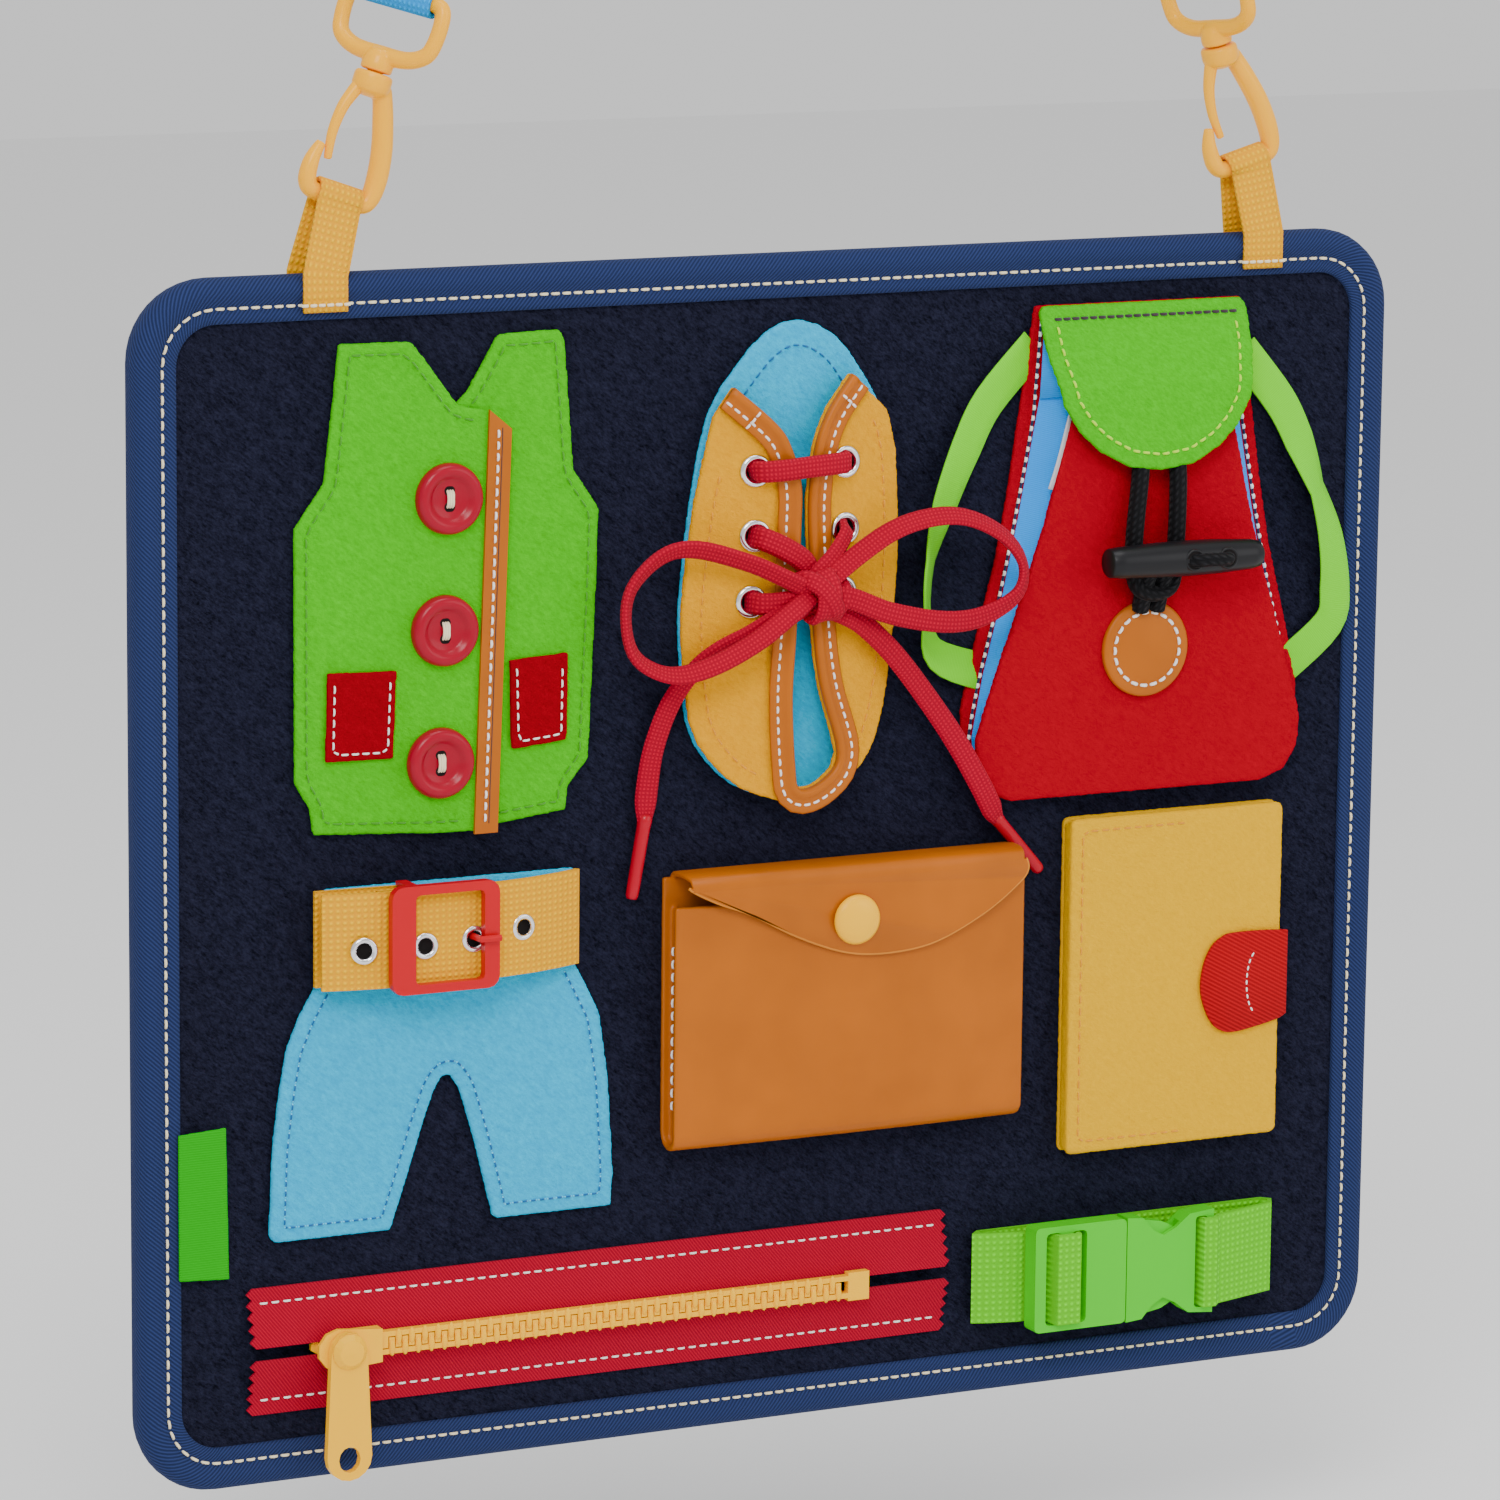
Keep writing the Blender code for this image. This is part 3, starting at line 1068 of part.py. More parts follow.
def make_book():
    """Back cover, front cover with its spine, and the closing tab."""
    left, bottom = BOOK_LEFT, BOOK_BOTTOM
    right, top = left + BOOK_WIDTH, bottom + BOOK_HEIGHT
    corner = FELT

    def page(name, inset, depth, thick, end):
        outline = rounded_rect(left + inset, bottom + inset / 2, end, top - inset / 2, corner, 2)
        return plate(name, [outline], depth, thick, "yellow_felt")

    page("book_back", 0, GAP, FELT, right)
    spine_depth = GAP + FELT + GAP
    cover_depth = spine_depth + BOOK_ROOM
    cover = page("book_cover", 0, cover_depth, FELT, right - GAP)
    spine_low = (left, bottom + corner, spine_depth)
    spine_high = (left + BOOK_SPINE, top - corner, cover_depth + FELT / 2)
    combine(cover, block("book_spine", spine_low, spine_high, None), "UNION")
    tab_depth = cover_depth + FELT + GAP
    tab_right = right + GAP + TAB_CLOTH
    outline = from_shares(TAB_SHARES, tab_right - TAB_LENGTH, TAB_BOTTOM, TAB_LENGTH, TAB_HEIGHT)
    tab = plate("book_tab", [outline], tab_depth, TAB_CLOTH, "crimson_felt")
    edge_low = (right + GAP, TAB_BOTTOM + TAB_HEIGHT * TAB_SHARES[0][1] + GAP, GAP)
    edge_high = (tab_right - GAP / 3, TAB_BOTTOM + TAB_HEIGHT * TAB_SHARES[-1][1] - GAP,
                 tab_depth + TAB_CLOTH / 2)
    combine(tab, block("book_tab_side", edge_low, edge_high, None), "UNION")
    joint("cover_hinge", at(left, bottom + BOOK_HEIGHT / 2, spine_depth), cover)
    joint("tab_hinge", at(right + GAP + TAB_CLOTH / 2, bottom + BOOK_HEIGHT / 2,
                          GAP + TAB_CLOTH / 2), tab)


# Zip
ZIP_MIDDLE = 34.3 * MM
TAPE_LEFT = 29.5 * MM
TAPE_RIGHT = 221.5 * MM
TAPE_WIDTH = 14.5 * MM
TAPE_CLOTH = 0.7 * MM
TAPE_RISE = 2.9 * MM
CHAIN_GAP = 1.6 * MM
TOOTH_PITCH = 3.56 * MM
TOOTH_WIDTH = 1.46 * MM
TOOTH_REACH = 2.6 * MM
TOOTH_RAIL = 1.3 * MM
TOOTH_THICK = 2.2 * MM
TEETH_START = 51.5 * MM
TEETH = 39
STOP_LEFT = TEETH_START + (TEETH + 0.5) * TOOTH_PITCH
STOP_WIDTH = 6 * MM
STOP_HEIGHT = 7.4 * MM
SLIDER_LENGTH = 17 * MM
SLIDER_HEIGHT = 10.6 * MM
SLIDER_WALL = 1.2 * MM
SLIDER_LEFT = 44.5 * MM
PULL_WIDTH = 12 * MM
PULL_LENGTH = 33 * MM
PULL_THICK = 2.0 * MM
PULL_HOLE = (2.9 * MM, 3.3 * MM)
PINK_STEP = 1.5 * MM


def zip_tape(name, sign):
    """A woven tape with pinked ends, sewn at its outer edge and raised at its inner edge."""
    inner = ZIP_MIDDLE + sign * CHAIN_GAP
    outer = inner + sign * TAPE_WIDTH
    teeth = 5
    rises = [inner + (outer - inner) * i / (2 * teeth) for i in range(2 * teeth + 1)]
    right = [(TAPE_RIGHT + (PINK_STEP if i % 2 else 0), v) for i, v in enumerate(rises)]
    left = [(TAPE_LEFT - (PINK_STEP if i % 2 else 0), v) for i, v in enumerate(rises)]
    tape = plate(name, [right + left[::-1]], GAP, TAPE_CLOTH, "crimson_felt")
    fold = outer - sign * TAPE_WIDTH / 4
    return bend(tape, "v", [fold], ramp(fold, inner, TAPE_RISE))


def comb(sign):
    """Outline of one row of teeth from the outer edge of its rail, left end first."""
    rail_out = ZIP_MIDDLE + sign * (TOOTH_REACH / 2 + TOOTH_RAIL + GAP)
    rail_in = ZIP_MIDDLE + sign * (TOOTH_REACH / 2 + GAP)
    tip = ZIP_MIDDLE - sign * TOOTH_REACH / 2
    first = TEETH_START if sign > 0 else TEETH_START + TOOTH_PITCH / 2
    outline = [(STOP_LEFT, rail_out), (first, rail_out)]
    for i in range(TEETH):
        start = first + i * TOOTH_PITCH
        outline += [(start, tip), (start + TOOTH_WIDTH, tip), (start + TOOTH_WIDTH, rail_in)]
        if i < TEETH - 1:
            outline += [(start + TOOTH_PITCH, rail_in)]
    return outline + [(STOP_LEFT, rail_in)]


def zip_teeth(depth):
    """Both rows of moulded teeth, one piece with the bottom stop."""
    right, half = STOP_LEFT + STOP_WIDTH, STOP_HEIGHT / 2
    outline = [(right, ZIP_MIDDLE + half), (STOP_LEFT, ZIP_MIDDLE + half)]
    outline += comb(1) + comb(-1)[::-1]
    outline += [(STOP_LEFT, ZIP_MIDDLE - half), (right, ZIP_MIDDLE - half)]
    return plate("zip_teeth", [outline], depth, TOOTH_THICK, "yellow_plastic")


def make_zip():
    """Tapes, teeth, bottom stop, slider and pull."""
    for name, sign in (("upper", 1), ("lower", -1)):
        zip_tape("zip_tape_" + name, sign)
    seat = GAP + TAPE_CLOTH + TAPE_RISE + GAP
    zip_teeth(seat)
    half, right = SLIDER_HEIGHT / 2, SLIDER_LEFT + SLIDER_LENGTH
    outline_shares = [(0, -0.3), (0.12, -0.8), (0.3, -1), (0.8, -0.85), (1, -0.8), (1, 0.8),
                      (0.8, 0.85), (0.3, 1), (0.12, 0.8), (0, 0.3)]
    outline = [(SLIDER_LEFT + x * SLIDER_LENGTH, ZIP_MIDDLE + y * half)
               for x, y in outline_shares]
    top = seat + TOOTH_THICK + GAP
    slider = plate("zip_slider", [outline], top, SLIDER_WALL, "yellow_plastic")
    under_share = 0.5
    under_outline = [(u, ZIP_MIDDLE + (v - ZIP_MIDDLE) * under_share) for u, v in outline]
    under = plate("slider_under", [under_outline], 0, SLIDER_WALL, None)
    under_depth = seat - GAP - TAPE_CLOTH - GAP - SLIDER_WALL - GAP
    bend(under, "v", [], lambda v: under_depth)
    combine(slider, under, "UNION")
    diamond = block("slider_diamond", (SLIDER_LEFT + SLIDER_LENGTH * 0.1,
                                       ZIP_MIDDLE - CHAIN_GAP + GAP, under_depth + SLIDER_WALL / 2),
                    (TEETH_START - GAP, ZIP_MIDDLE + CHAIN_GAP - GAP, top + SLIDER_WALL / 2), None)
    combine(slider, diamond, "UNION")
    for sign in (-1, 1):
        low, high = sorted((ZIP_MIDDLE + sign * half * 0.64, ZIP_MIDDLE + sign * half * 0.8))
        flange = block("slider_flange_%d" % sign, (SLIDER_LEFT + SLIDER_LENGTH * 0.3, low, seat),
                       (right, high, top + SLIDER_WALL / 2), None)
        combine(slider, flange, "UNION")
    make_pull(slider, top + SLIDER_WALL)


def make_pull(slider, face):
    """The slider's crown post and the pull that hangs from it."""
    crown_u = SLIDER_LEFT + SLIDER_LENGTH * 0.42
    post = PULL_WIDTH * 0.2
    bore = post + 2 * GAP
    head = PULL_WIDTH * 0.38
    crown_v = ZIP_MIDDLE
    profile = [(0, PULL_THICK + 3 * GAP + head * 0.35), (head * 0.7, PULL_THICK + 3 * GAP + head * 0.25),
               (head, PULL_THICK + 2 * GAP), (post, PULL_THICK + 2 * GAP), (post, -SLIDER_WALL / 2),
               (0, -SLIDER_WALL / 2)]
    crown = turned("slider_crown", profile, facing(crown_u, crown_v, face), None, 14)
    combine(slider, crown, "UNION")
    half = PULL_WIDTH / 2
    low = crown_v - PULL_LENGTH + half
    top_end = arc((crown_u, crown_v), half * 0.8, 0, 180, 6)
    low_end = arc((crown_u, low), half, 180, 360, 8)
    hole_u, hole_v = PULL_HOLE
    oval = [(crown_u + hole_u * math.cos(t), low + hole_v * math.sin(t) - half * 0.1)
            for t in [math.radians(30 * i) for i in range(12)]]
    pull = plate("zip_pull", [top_end + low_end, circle((crown_u, crown_v), bore, 12), oval],
                 face + GAP, PULL_THICK, "yellow_plastic")
    carrier = joint("zip_slide", at(crown_u, crown_v, face), slider)
    swing = joint("pull_swing", at(crown_u, crown_v, face + PULL_THICK / 2), pull)
    bpy.context.view_layer.update()
    swing.parent = carrier
    swing.matrix_parent_inverse = carrier.matrix_world.inverted()


# Side release clip
CLIP_LEFT = 231 * MM
CLIP_RIGHT = 319.5 * MM
CLIP_MIDDLE = 31.5 * MM
CLIP_WEBBING_WIDTH = 24 * MM
CLIP_HEIGHT = 28 * MM
CLIP_THICK = 5.6 * MM
CLIP_DEPTH = 7.0 * MM
MALE_LEFT = 243.5 * MM
MALE_LENGTH = 27 * MM
SLOT_WIDTH = 4.4 * MM
LADDER_BAR = 3.2 * MM
FEMALE_LENGTH = 20 * MM
FEMALE_TAIL = 6 * MM
ARM_LENGTH = 16 * MM
ARM_THICK = 3.4 * MM
ARM_BULGE = 2.2 * MM
GUIDE_HALF = 2.0 * MM
CLIP_WALL = 1.3 * MM


def make_clip():
    """Webbing, male half with ladder frame and two arms, and female half."""
    middle, depth = CLIP_MIDDLE, CLIP_DEPTH
    half, thick = CLIP_HEIGHT / 2, CLIP_THICK
    male_right = MALE_LEFT + MALE_LENGTH
    female_left = male_right + GAP
    female_right = female_left + FEMALE_LENGTH + FEMALE_TAIL
    bottom = middle - half
    outer = rounded_rect(MALE_LEFT, bottom, male_right, bottom + CLIP_HEIGHT, ARM_THICK * 0.4, 3)
    slots = []
    start = MALE_LEFT + LADDER_BAR
    for _ in range(2):
        slots.append(rounded_rect(start, middle - CLIP_WEBBING_WIDTH / 2 - GAP, start + SLOT_WIDTH,
                                  middle + CLIP_WEBBING_WIDTH / 2 + GAP, SLOT_WIDTH / 4, 2))
        start += SLOT_WIDTH + LADDER_BAR
    male = plate("clip_male", [outer] + slots, depth, thick, "lime_plastic")
    core = depth + CLIP_WALL + GAP
    core_thick = thick - 2 * (CLIP_WALL + GAP)
    guide = block("clip_guide", (male_right - GAP, middle - GUIDE_HALF, core),
                  (male_right + ARM_LENGTH * 0.85, middle + GUIDE_HALF, core + core_thick), None)
    combine(male, guide, "UNION")
    for name, sign in (("upper", 1), ("lower", -1)):
        root = half * 0.5
        inner = [(male_right + GAP, root), (male_right + ARM_LENGTH * 0.6, root * 1.08),
                 (male_right + ARM_LENGTH, root * 0.85)]
        outer_edge = [(male_right + ARM_LENGTH * 0.97, root + ARM_THICK * 0.8),
                      (male_right + ARM_LENGTH * 0.72, root + ARM_THICK + ARM_BULGE * 0.6),
                      (male_right + ARM_LENGTH * 0.4, root + ARM_THICK + ARM_BULGE),
                      (male_right + ARM_LENGTH * 0.2, root + ARM_THICK),
                      (male_right + GAP, root + ARM_THICK)]
        outline = [(u, middle + sign * y) for u, y in inner + outer_edge]
        arm = plate("clip_arm_" + name, [outline], core, core_thick, "lime_plastic")
        joint("arm_hinge_" + name, at(male_right + GAP, middle + sign * (root + ARM_THICK / 2),
                                      core + core_thick / 2), arm)
    make_female(female_left, female_right, middle, half, core, core_thick)
    make_clip_webbing(female_right)
    joint("male_slide", at(male_right, middle, depth + thick / 2), male)


def make_female(left, right, middle, half, core, core_thick):
    """Shell with a mouth for the guide and arms, waist windows and a fish tail."""
    length = right - left
    side = [(0, 1), (0.18, 0.97), (0.3, 0.72), (0.42, 0.6), (0.56, 0.72), (0.72, 0.95), (1, 1)]
    shares = side + [(x, -y) for x, y in reversed(side)]
    outline = [(left + x * length, middle + y * half) for x, y in shares]
    slot_right = right - CLIP_WALL * 1.5
    bar_slot = rounded_rect(slot_right - SLOT_WIDTH * 0.8, middle - CLIP_WEBBING_WIDTH / 2 - GAP,
                            slot_right, middle + CLIP_WEBBING_WIDTH / 2 + GAP, SLOT_WIDTH / 5, 2)
    female = plate("clip_female", [outline[::-1], bar_slot], CLIP_DEPTH, CLIP_THICK,
                   "lime_plastic")
    mouth = block("clip_mouth", (left - OVERRUN, middle - half * 0.5 - ARM_THICK - ARM_BULGE - GAP,
                                 core - GAP),
                  (left + ARM_LENGTH + GAP, middle + half * 0.5 + ARM_THICK + ARM_BULGE + GAP,
                   core + core_thick + GAP), None)
    combine(female, mouth, "DIFFERENCE")


def make_clip_webbing(female_right):
    """Webbing flat on the board, folded at both ends and carried through both halves."""
    middle = CLIP_MIDDLE
    seat = GAP + WEBBING / 2
    mid = CLIP_DEPTH + CLIP_THICK / 2
    front = CLIP_DEPTH + CLIP_THICK + GAP * 2 + WEBBING / 2
    behind = CLIP_DEPTH - GAP * 2 - WEBBING / 2
    slot_one = MALE_LEFT + LADDER_BAR + SLOT_WIDTH / 2
    slot_two = slot_one + SLOT_WIDTH + LADDER_BAR
    right_slot = female_right - CLIP_WALL * 1.5 - SLOT_WIDTH * 0.4
    fold = WEBBING * 1.5
    places = [(slot_two, behind), (slot_two, mid), (slot_two - fold / 2, front),
              (slot_one + fold / 2, front), (slot_one, mid), (slot_one - fold / 2, behind),
              (MALE_LEFT - fold, behind), (CLIP_LEFT + fold * 2, behind - fold),
              (CLIP_LEFT, seat + fold), (CLIP_LEFT + fold, seat), (CLIP_RIGHT - fold, seat),
              (CLIP_RIGHT, seat + fold), (CLIP_RIGHT - fold, behind),
              (female_right + fold, mid + fold), (right_slot + SLOT_WIDTH * 0.8, front),
              (right_slot + fold / 4, front), (right_slot, mid), (right_slot, behind)]
    centre = [at(u, middle, d) for u, d in places]
    ribbon("clip_webbing", centre, [Vector((0, 0, 1))] * len(centre), CLIP_WEBBING_WIDTH,
           WEBBING, "lime_webbing")


def main():
    """Build the whole board."""
    clear_scene()
    make_strap()
    for side in HOOKS:
        make_ring(side)
        make_hook(side)
        make_loop(side)
    make_board()
    make_label()
    make_vest()
    make_shoe()
    make_lace()
    make_bag()
    make_trousers()
    make_purse()
    make_book()
    make_zip()
    make_clip()


main()
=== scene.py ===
"""Looks of the dressing skills board: felt, webbing, leather, stitching, cords and plastics.

Places are written as (u, v, d) in millimetres, as in the part's source: u right and v up from
the board's lower left corner, d outward from the front felt's face.
"""

import math

import bmesh
import bpy
from mathutils import Matrix, Vector, noise
from mathutils.bvhtree import BVHTree


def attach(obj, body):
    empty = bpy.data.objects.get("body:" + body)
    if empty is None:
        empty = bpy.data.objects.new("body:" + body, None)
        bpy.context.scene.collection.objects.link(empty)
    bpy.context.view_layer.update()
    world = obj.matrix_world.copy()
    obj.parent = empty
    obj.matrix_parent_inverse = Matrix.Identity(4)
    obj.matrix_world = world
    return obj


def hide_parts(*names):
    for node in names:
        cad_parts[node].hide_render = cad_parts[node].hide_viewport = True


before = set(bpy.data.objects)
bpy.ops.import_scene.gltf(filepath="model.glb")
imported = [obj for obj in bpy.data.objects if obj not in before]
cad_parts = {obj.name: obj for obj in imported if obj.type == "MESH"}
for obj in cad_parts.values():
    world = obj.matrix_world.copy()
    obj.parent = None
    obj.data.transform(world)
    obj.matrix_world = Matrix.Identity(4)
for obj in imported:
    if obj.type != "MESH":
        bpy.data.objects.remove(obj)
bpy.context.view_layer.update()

MM = 0.001
HANG_U = 188.2355
HANG_V = 603.6706
FACE_Y = -3.1
BOARD = (350.0, 300.0)
MATERIALS = {}
OUT = Vector((0, -1, 0))


def at(u, v, d=0.0):
    """World place of a point on the board."""
    return Vector((u - HANG_U, FACE_Y - d, v - HANG_V)) * MM


RICHNESS = 1.4


def linear(*rgb):
    """Linear colour from 8-bit screen values, made richer for the render's soft tone curve."""
    made = []
    for value in rgb:
        share = value / 255
        made.append(share / 12.92 if share <= 0.04045 else ((share + 0.055) / 1.055) ** 2.4)
    grey = 0.25 * made[0] + 0.6 * made[1] + 0.15 * made[2]
    return (*(min(max(grey + (c - grey) * RICHNESS, 0.0), 1.0) for c in made), 1.0)


# Camera and light
CAMERA_AZIMUTH = -26.77
CAMERA_ELEVATION = 10.38
CAMERA_ROLL = 0.57
CAMERA_DISTANCE = 1698.2
CAMERA_TARGET = (167.16, 174.43)
CAMERA_LENS = 161.7


def make_camera():
    """Camera at the photograph's angle."""
    data = bpy.data.cameras.new("camera")
    data.lens = CAMERA_LENS
    data.sensor_width = 36
    data.clip_start = 0.05
    data.clip_end = 20
    camera = bpy.data.objects.new("camera", data)
    bpy.context.scene.collection.objects.link(camera)
    a, e = math.radians(CAMERA_AZIMUTH), math.radians(CAMERA_ELEVATION)
    back = Vector((math.sin(a) * math.cos(e), -math.cos(a) * math.cos(e), math.sin(e)))
    right = Vector((math.cos(a), math.sin(a), 0))
    up = back.cross(right)
    roll = math.radians(CAMERA_ROLL)
    turned_right = right * math.cos(roll) + up * math.sin(roll)
    turned_up = up * math.cos(roll) - right * math.sin(roll)
    u, v = CAMERA_TARGET
    target = Vector(((u - HANG_U) * MM, 0, (v - HANG_V) * MM))
    turn = Matrix((turned_right, turned_up, back)).transposed().to_4x4()
    camera.matrix_world = Matrix.Translation(target + back * CAMERA_DISTANCE * MM) @ turn
    bpy.context.scene.camera = camera


def area_light(name, place, aim, size, power):
    """A soft square light."""
    data = bpy.data.lights.new(name, "AREA")
    data.shape = "SQUARE"
    data.size = size
    data.energy = power
    lamp = bpy.data.objects.new(name, data)
    bpy.context.scene.collection.objects.link(lamp)
    lamp.location = place
    lamp.rotation_euler = (Vector(aim) - Vector(place)).to_track_quat("-Z", "Y").to_euler()


FLOOR_Z = -0.66
FLOOR_SIZE = 4.0
WORLD_LIGHT = 0.85


def make_stage():
    """Pale floor, even world light and three soft lamps."""
    world = bpy.data.worlds.new("studio")
    world.use_nodes = True
    back = world.node_tree.nodes["Background"]
    back.inputs["Color"].default_value = (1, 1, 1, 1)
    back.inputs["Strength"].default_value = WORLD_LIGHT
    bpy.context.scene.world = world
    mesh = bpy.data.meshes.new("floor")
    corners = [(-1, -1), (1, -1), (1, 1), (-1, 1)]
    mesh.from_pydata([(x * FLOOR_SIZE, y * FLOOR_SIZE, FLOOR_Z) for x, y in corners], [],
                     [(0, 1, 2, 3)])
    floor = bpy.data.objects.new("floor", mesh)
    bpy.context.scene.collection.objects.link(floor)
    mat = bpy.data.materials.new("floor_white")
    mat.use_nodes = True
    shader = mat.node_tree.nodes["Principled BSDF"]
    shader.inputs["Base Color"].default_value = (0.9, 0.9, 0.9, 1)
    shader.inputs["Roughness"].default_value = 0.9
    mesh.materials.append(mat)
    middle = (-0.01, 0, -0.42)
    area_light("key", (-0.9, -1.5, 0.9), middle, 0.8, 26)
    area_light("fill", (1.2, -1.4, 0.2), middle, 1.2, 9)
    area_light("top", (0.1, -0.3, 1.2), middle, 0.8, 10)


# Materials
def preset(node, values):
    """Set a node's inputs by name."""
    for name, value in values.items():
        node.inputs[name].default_value = value


def new_material(name, colour, rough, spec=0.5):
    """A node material kept by name; gives its node tree and its Principled shader."""
    mat = bpy.data.materials.new(name)
    mat.use_nodes = True
    shader = mat.node_tree.nodes["Principled BSDF"]
    preset(shader, {"Base Color": colour, "Roughness": rough, "Specular IOR Level": spec})
    MATERIALS[name] = mat
    return mat.node_tree, shader


def coordinates(tree, source="Object"):
    """Texture coordinates in millimetres."""
    place = tree.nodes.new("ShaderNodeTexCoord")
    grow = tree.nodes.new("ShaderNodeVectorMath")
    grow.operation = "SCALE"
    grow.inputs["Scale"].default_value = 1000
    tree.links.new(place.outputs[source], grow.inputs[0])
    return grow.outputs[0]


def compute(tree, operation, *values):
    """Result of a maths node; each value is a number or another node's output."""
    node = tree.nodes.new("ShaderNodeMath")
    node.operation = operation
    for place, value in zip(node.inputs, values):
        if isinstance(value, (int, float)):
            place.default_value = value
        else:
            tree.links.new(value, place)
    return node.outputs[0]


def noise_node(tree, vector, scale, detail=3.0, rough=0.6):
    """A noise texture's value."""
    node = tree.nodes.new("ShaderNodeTexNoise")
    preset(node, {"Scale": scale, "Detail": detail, "Roughness": rough})
    tree.links.new(vector, node.inputs["Vector"])
    return node.outputs["Fac"]


def mixed(tree, fac, low, high, start=0.3, end=0.7):
    """Colour ramp between two colours."""
    ramp = tree.nodes.new("ShaderNodeValToRGB")
    for stop, place, colour in zip(ramp.color_ramp.elements, (start, end), (low, high)):
        stop.position = place
        stop.color = colour
    tree.links.new(fac, ramp.inputs["Fac"])
    return ramp.outputs["Color"]


def bump(tree, shader, height, depth, strength=1.0, under=None):
    """Bump from a height value, depth in millimetres."""
    node = tree.nodes.new("ShaderNodeBump")
    preset(node, {"Strength": strength, "Distance": depth * MM})
    tree.links.new(height, node.inputs["Height"])
    if under is not None:
        tree.links.new(under, node.inputs["Normal"])
    tree.links.new(node.outputs["Normal"], shader.inputs["Normal"])
    return node.outputs["Normal"]


def shade(colour, factor):
    """A colour made darker or lighter."""
    return (*[min(c * factor, 1.0) for c in colour[:3]], 1.0)


def felt_material(name, colour, contrast=0.2, sheen=0.04, speck=0.3):
    """Pressed wool: fibres lying aslant, darker specks, no gloss."""
    tree, shader = new_material(name, colour, 1.0, 0.02)
    place = coordinates(tree)
    lay = tree.nodes.new("ShaderNodeMapping")
    lay.vector_type = "TEXTURE"
    preset(lay, {"Rotation": (0, math.radians(38), 0), "Scale": (1.7, 1.0, 0.75)})
    tree.links.new(place, lay.inputs["Vector"])
    fibres = noise_node(tree, lay.outputs["Vector"], 1.3, 5.0, 0.78)
    specks = noise_node(tree, lay.outputs["Vector"], 0.55, 4.0, 0.7)
    blend = compute(tree, "MULTIPLY_ADD", fibres, 0.62, compute(tree, "MULTIPLY", specks, 0.38))
    colour_out = mixed(tree, blend, shade(colour, 1 - contrast), shade(colour, 1 + contrast),
                       0.5 - speck / 2, 0.5 + speck / 2)
    tree.links.new(colour_out, shader.inputs["Base Color"])
    first = bump(tree, shader, fibres, 0.7, 0.9)
    fine = noise_node(tree, place, 4.0, 3.0, 0.8)
    bump(tree, shader, fine, 0.2, 0.7, first)
    preset(shader, {"Sheen Weight": sheen, "Sheen Roughness": 0.5,
                    "Sheen Tint": shade(colour, 1.6)})


def woven_material(name, colour, across, along, depth=0.25, slant=0.0, contrast=0.25,
                   rough=0.75, sheen=0.03):
    """Webbing or tape by its UV places in millimetres: crossed ribs, or slanted twill; the colour
    follows the rib height, painted shade in the grooves and painted light on the crowns.
    """
    tree, shader = new_material(name, colour, rough, 0.06)
    place = coordinates(tree, "UV")
    split = tree.nodes.new("ShaderNodeSeparateXYZ")
    tree.links.new(place, split.inputs[0])

    def wave(weights, pitch):
        parts = [compute(tree, "MULTIPLY", split.outputs[axis], weight * 2 * math.pi / pitch)
                 for axis, weight in zip("XY", weights)]
        size = tree.nodes.new("ShaderNodeMapRange")
        size.inputs["From Min"].default_value = -1
        tree.links.new(compute(tree, "SINE", compute(tree, "ADD", *parts)),
                       size.inputs["Value"])
        return size.outputs["Result"]

    height = wave((1, slant), along)
    if across:
        height = compute(tree, "MULTIPLY", height, wave((0, 1), across))
    # Painted shade and light: darker in the grooves and lighter on the rib crowns, by the same
    # height as the bump.
    colour_out = mixed(tree, height, shade(colour, 1 - contrast), shade(colour, 1 + contrast),
                       0.0, 1.0)
    tree.links.new(colour_out, shader.inputs["Base Color"])
    bump(tree, shader, height, depth, 0.9)
    shader.inputs["Sheen Weight"].default_value = sheen


def leather_material(name, colour, rough=0.42, contrast=0.08):
    """Faux leather: fine grain and a soft shine."""
    tree, shader = new_material(name, colour, rough, 0.22)
    place = coordinates(tree)
    grain = noise_node(tree, place, 2.6, 2.0, 0.5)
    cloud = noise_node(tree, place, 0.05, 2.0)
    colour_out = mixed(tree, cloud, shade(colour, 1 - contrast), shade(colour, 1 + contrast))
    tree.links.new(colour_out, shader.inputs["Base Color"])
    bump(tree, shader, grain, 0.05, 0.6)


def plastic_material(name, colour, rough=0.3, glow=0.0, grain=0.0):
    """Moulded plastic, with light passing into it where it's pale."""
    tree, shader = new_material(name, colour, rough, 0.22)
    if glow:
        preset(shader, {"Subsurface Weight": glow, "Subsurface Radius": (1.0, 0.5, 0.2),
                        "Subsurface Scale": 2.0 * MM})
    if grain:
        bump(tree, shader, noise_node(tree, coordinates(tree), 3.0, 2.0), grain, 0.5)


def thread_material(name, colour):
    """Sewing thread: twisted, matt."""
    tree, shader = new_material(name, colour, 0.7, 0.3)
    bump(tree, shader, noise_node(tree, coordinates(tree), 6.0, 1.0), 0.06, 0.6)
    shader.inputs["Sheen Weight"].default_value = 0.2


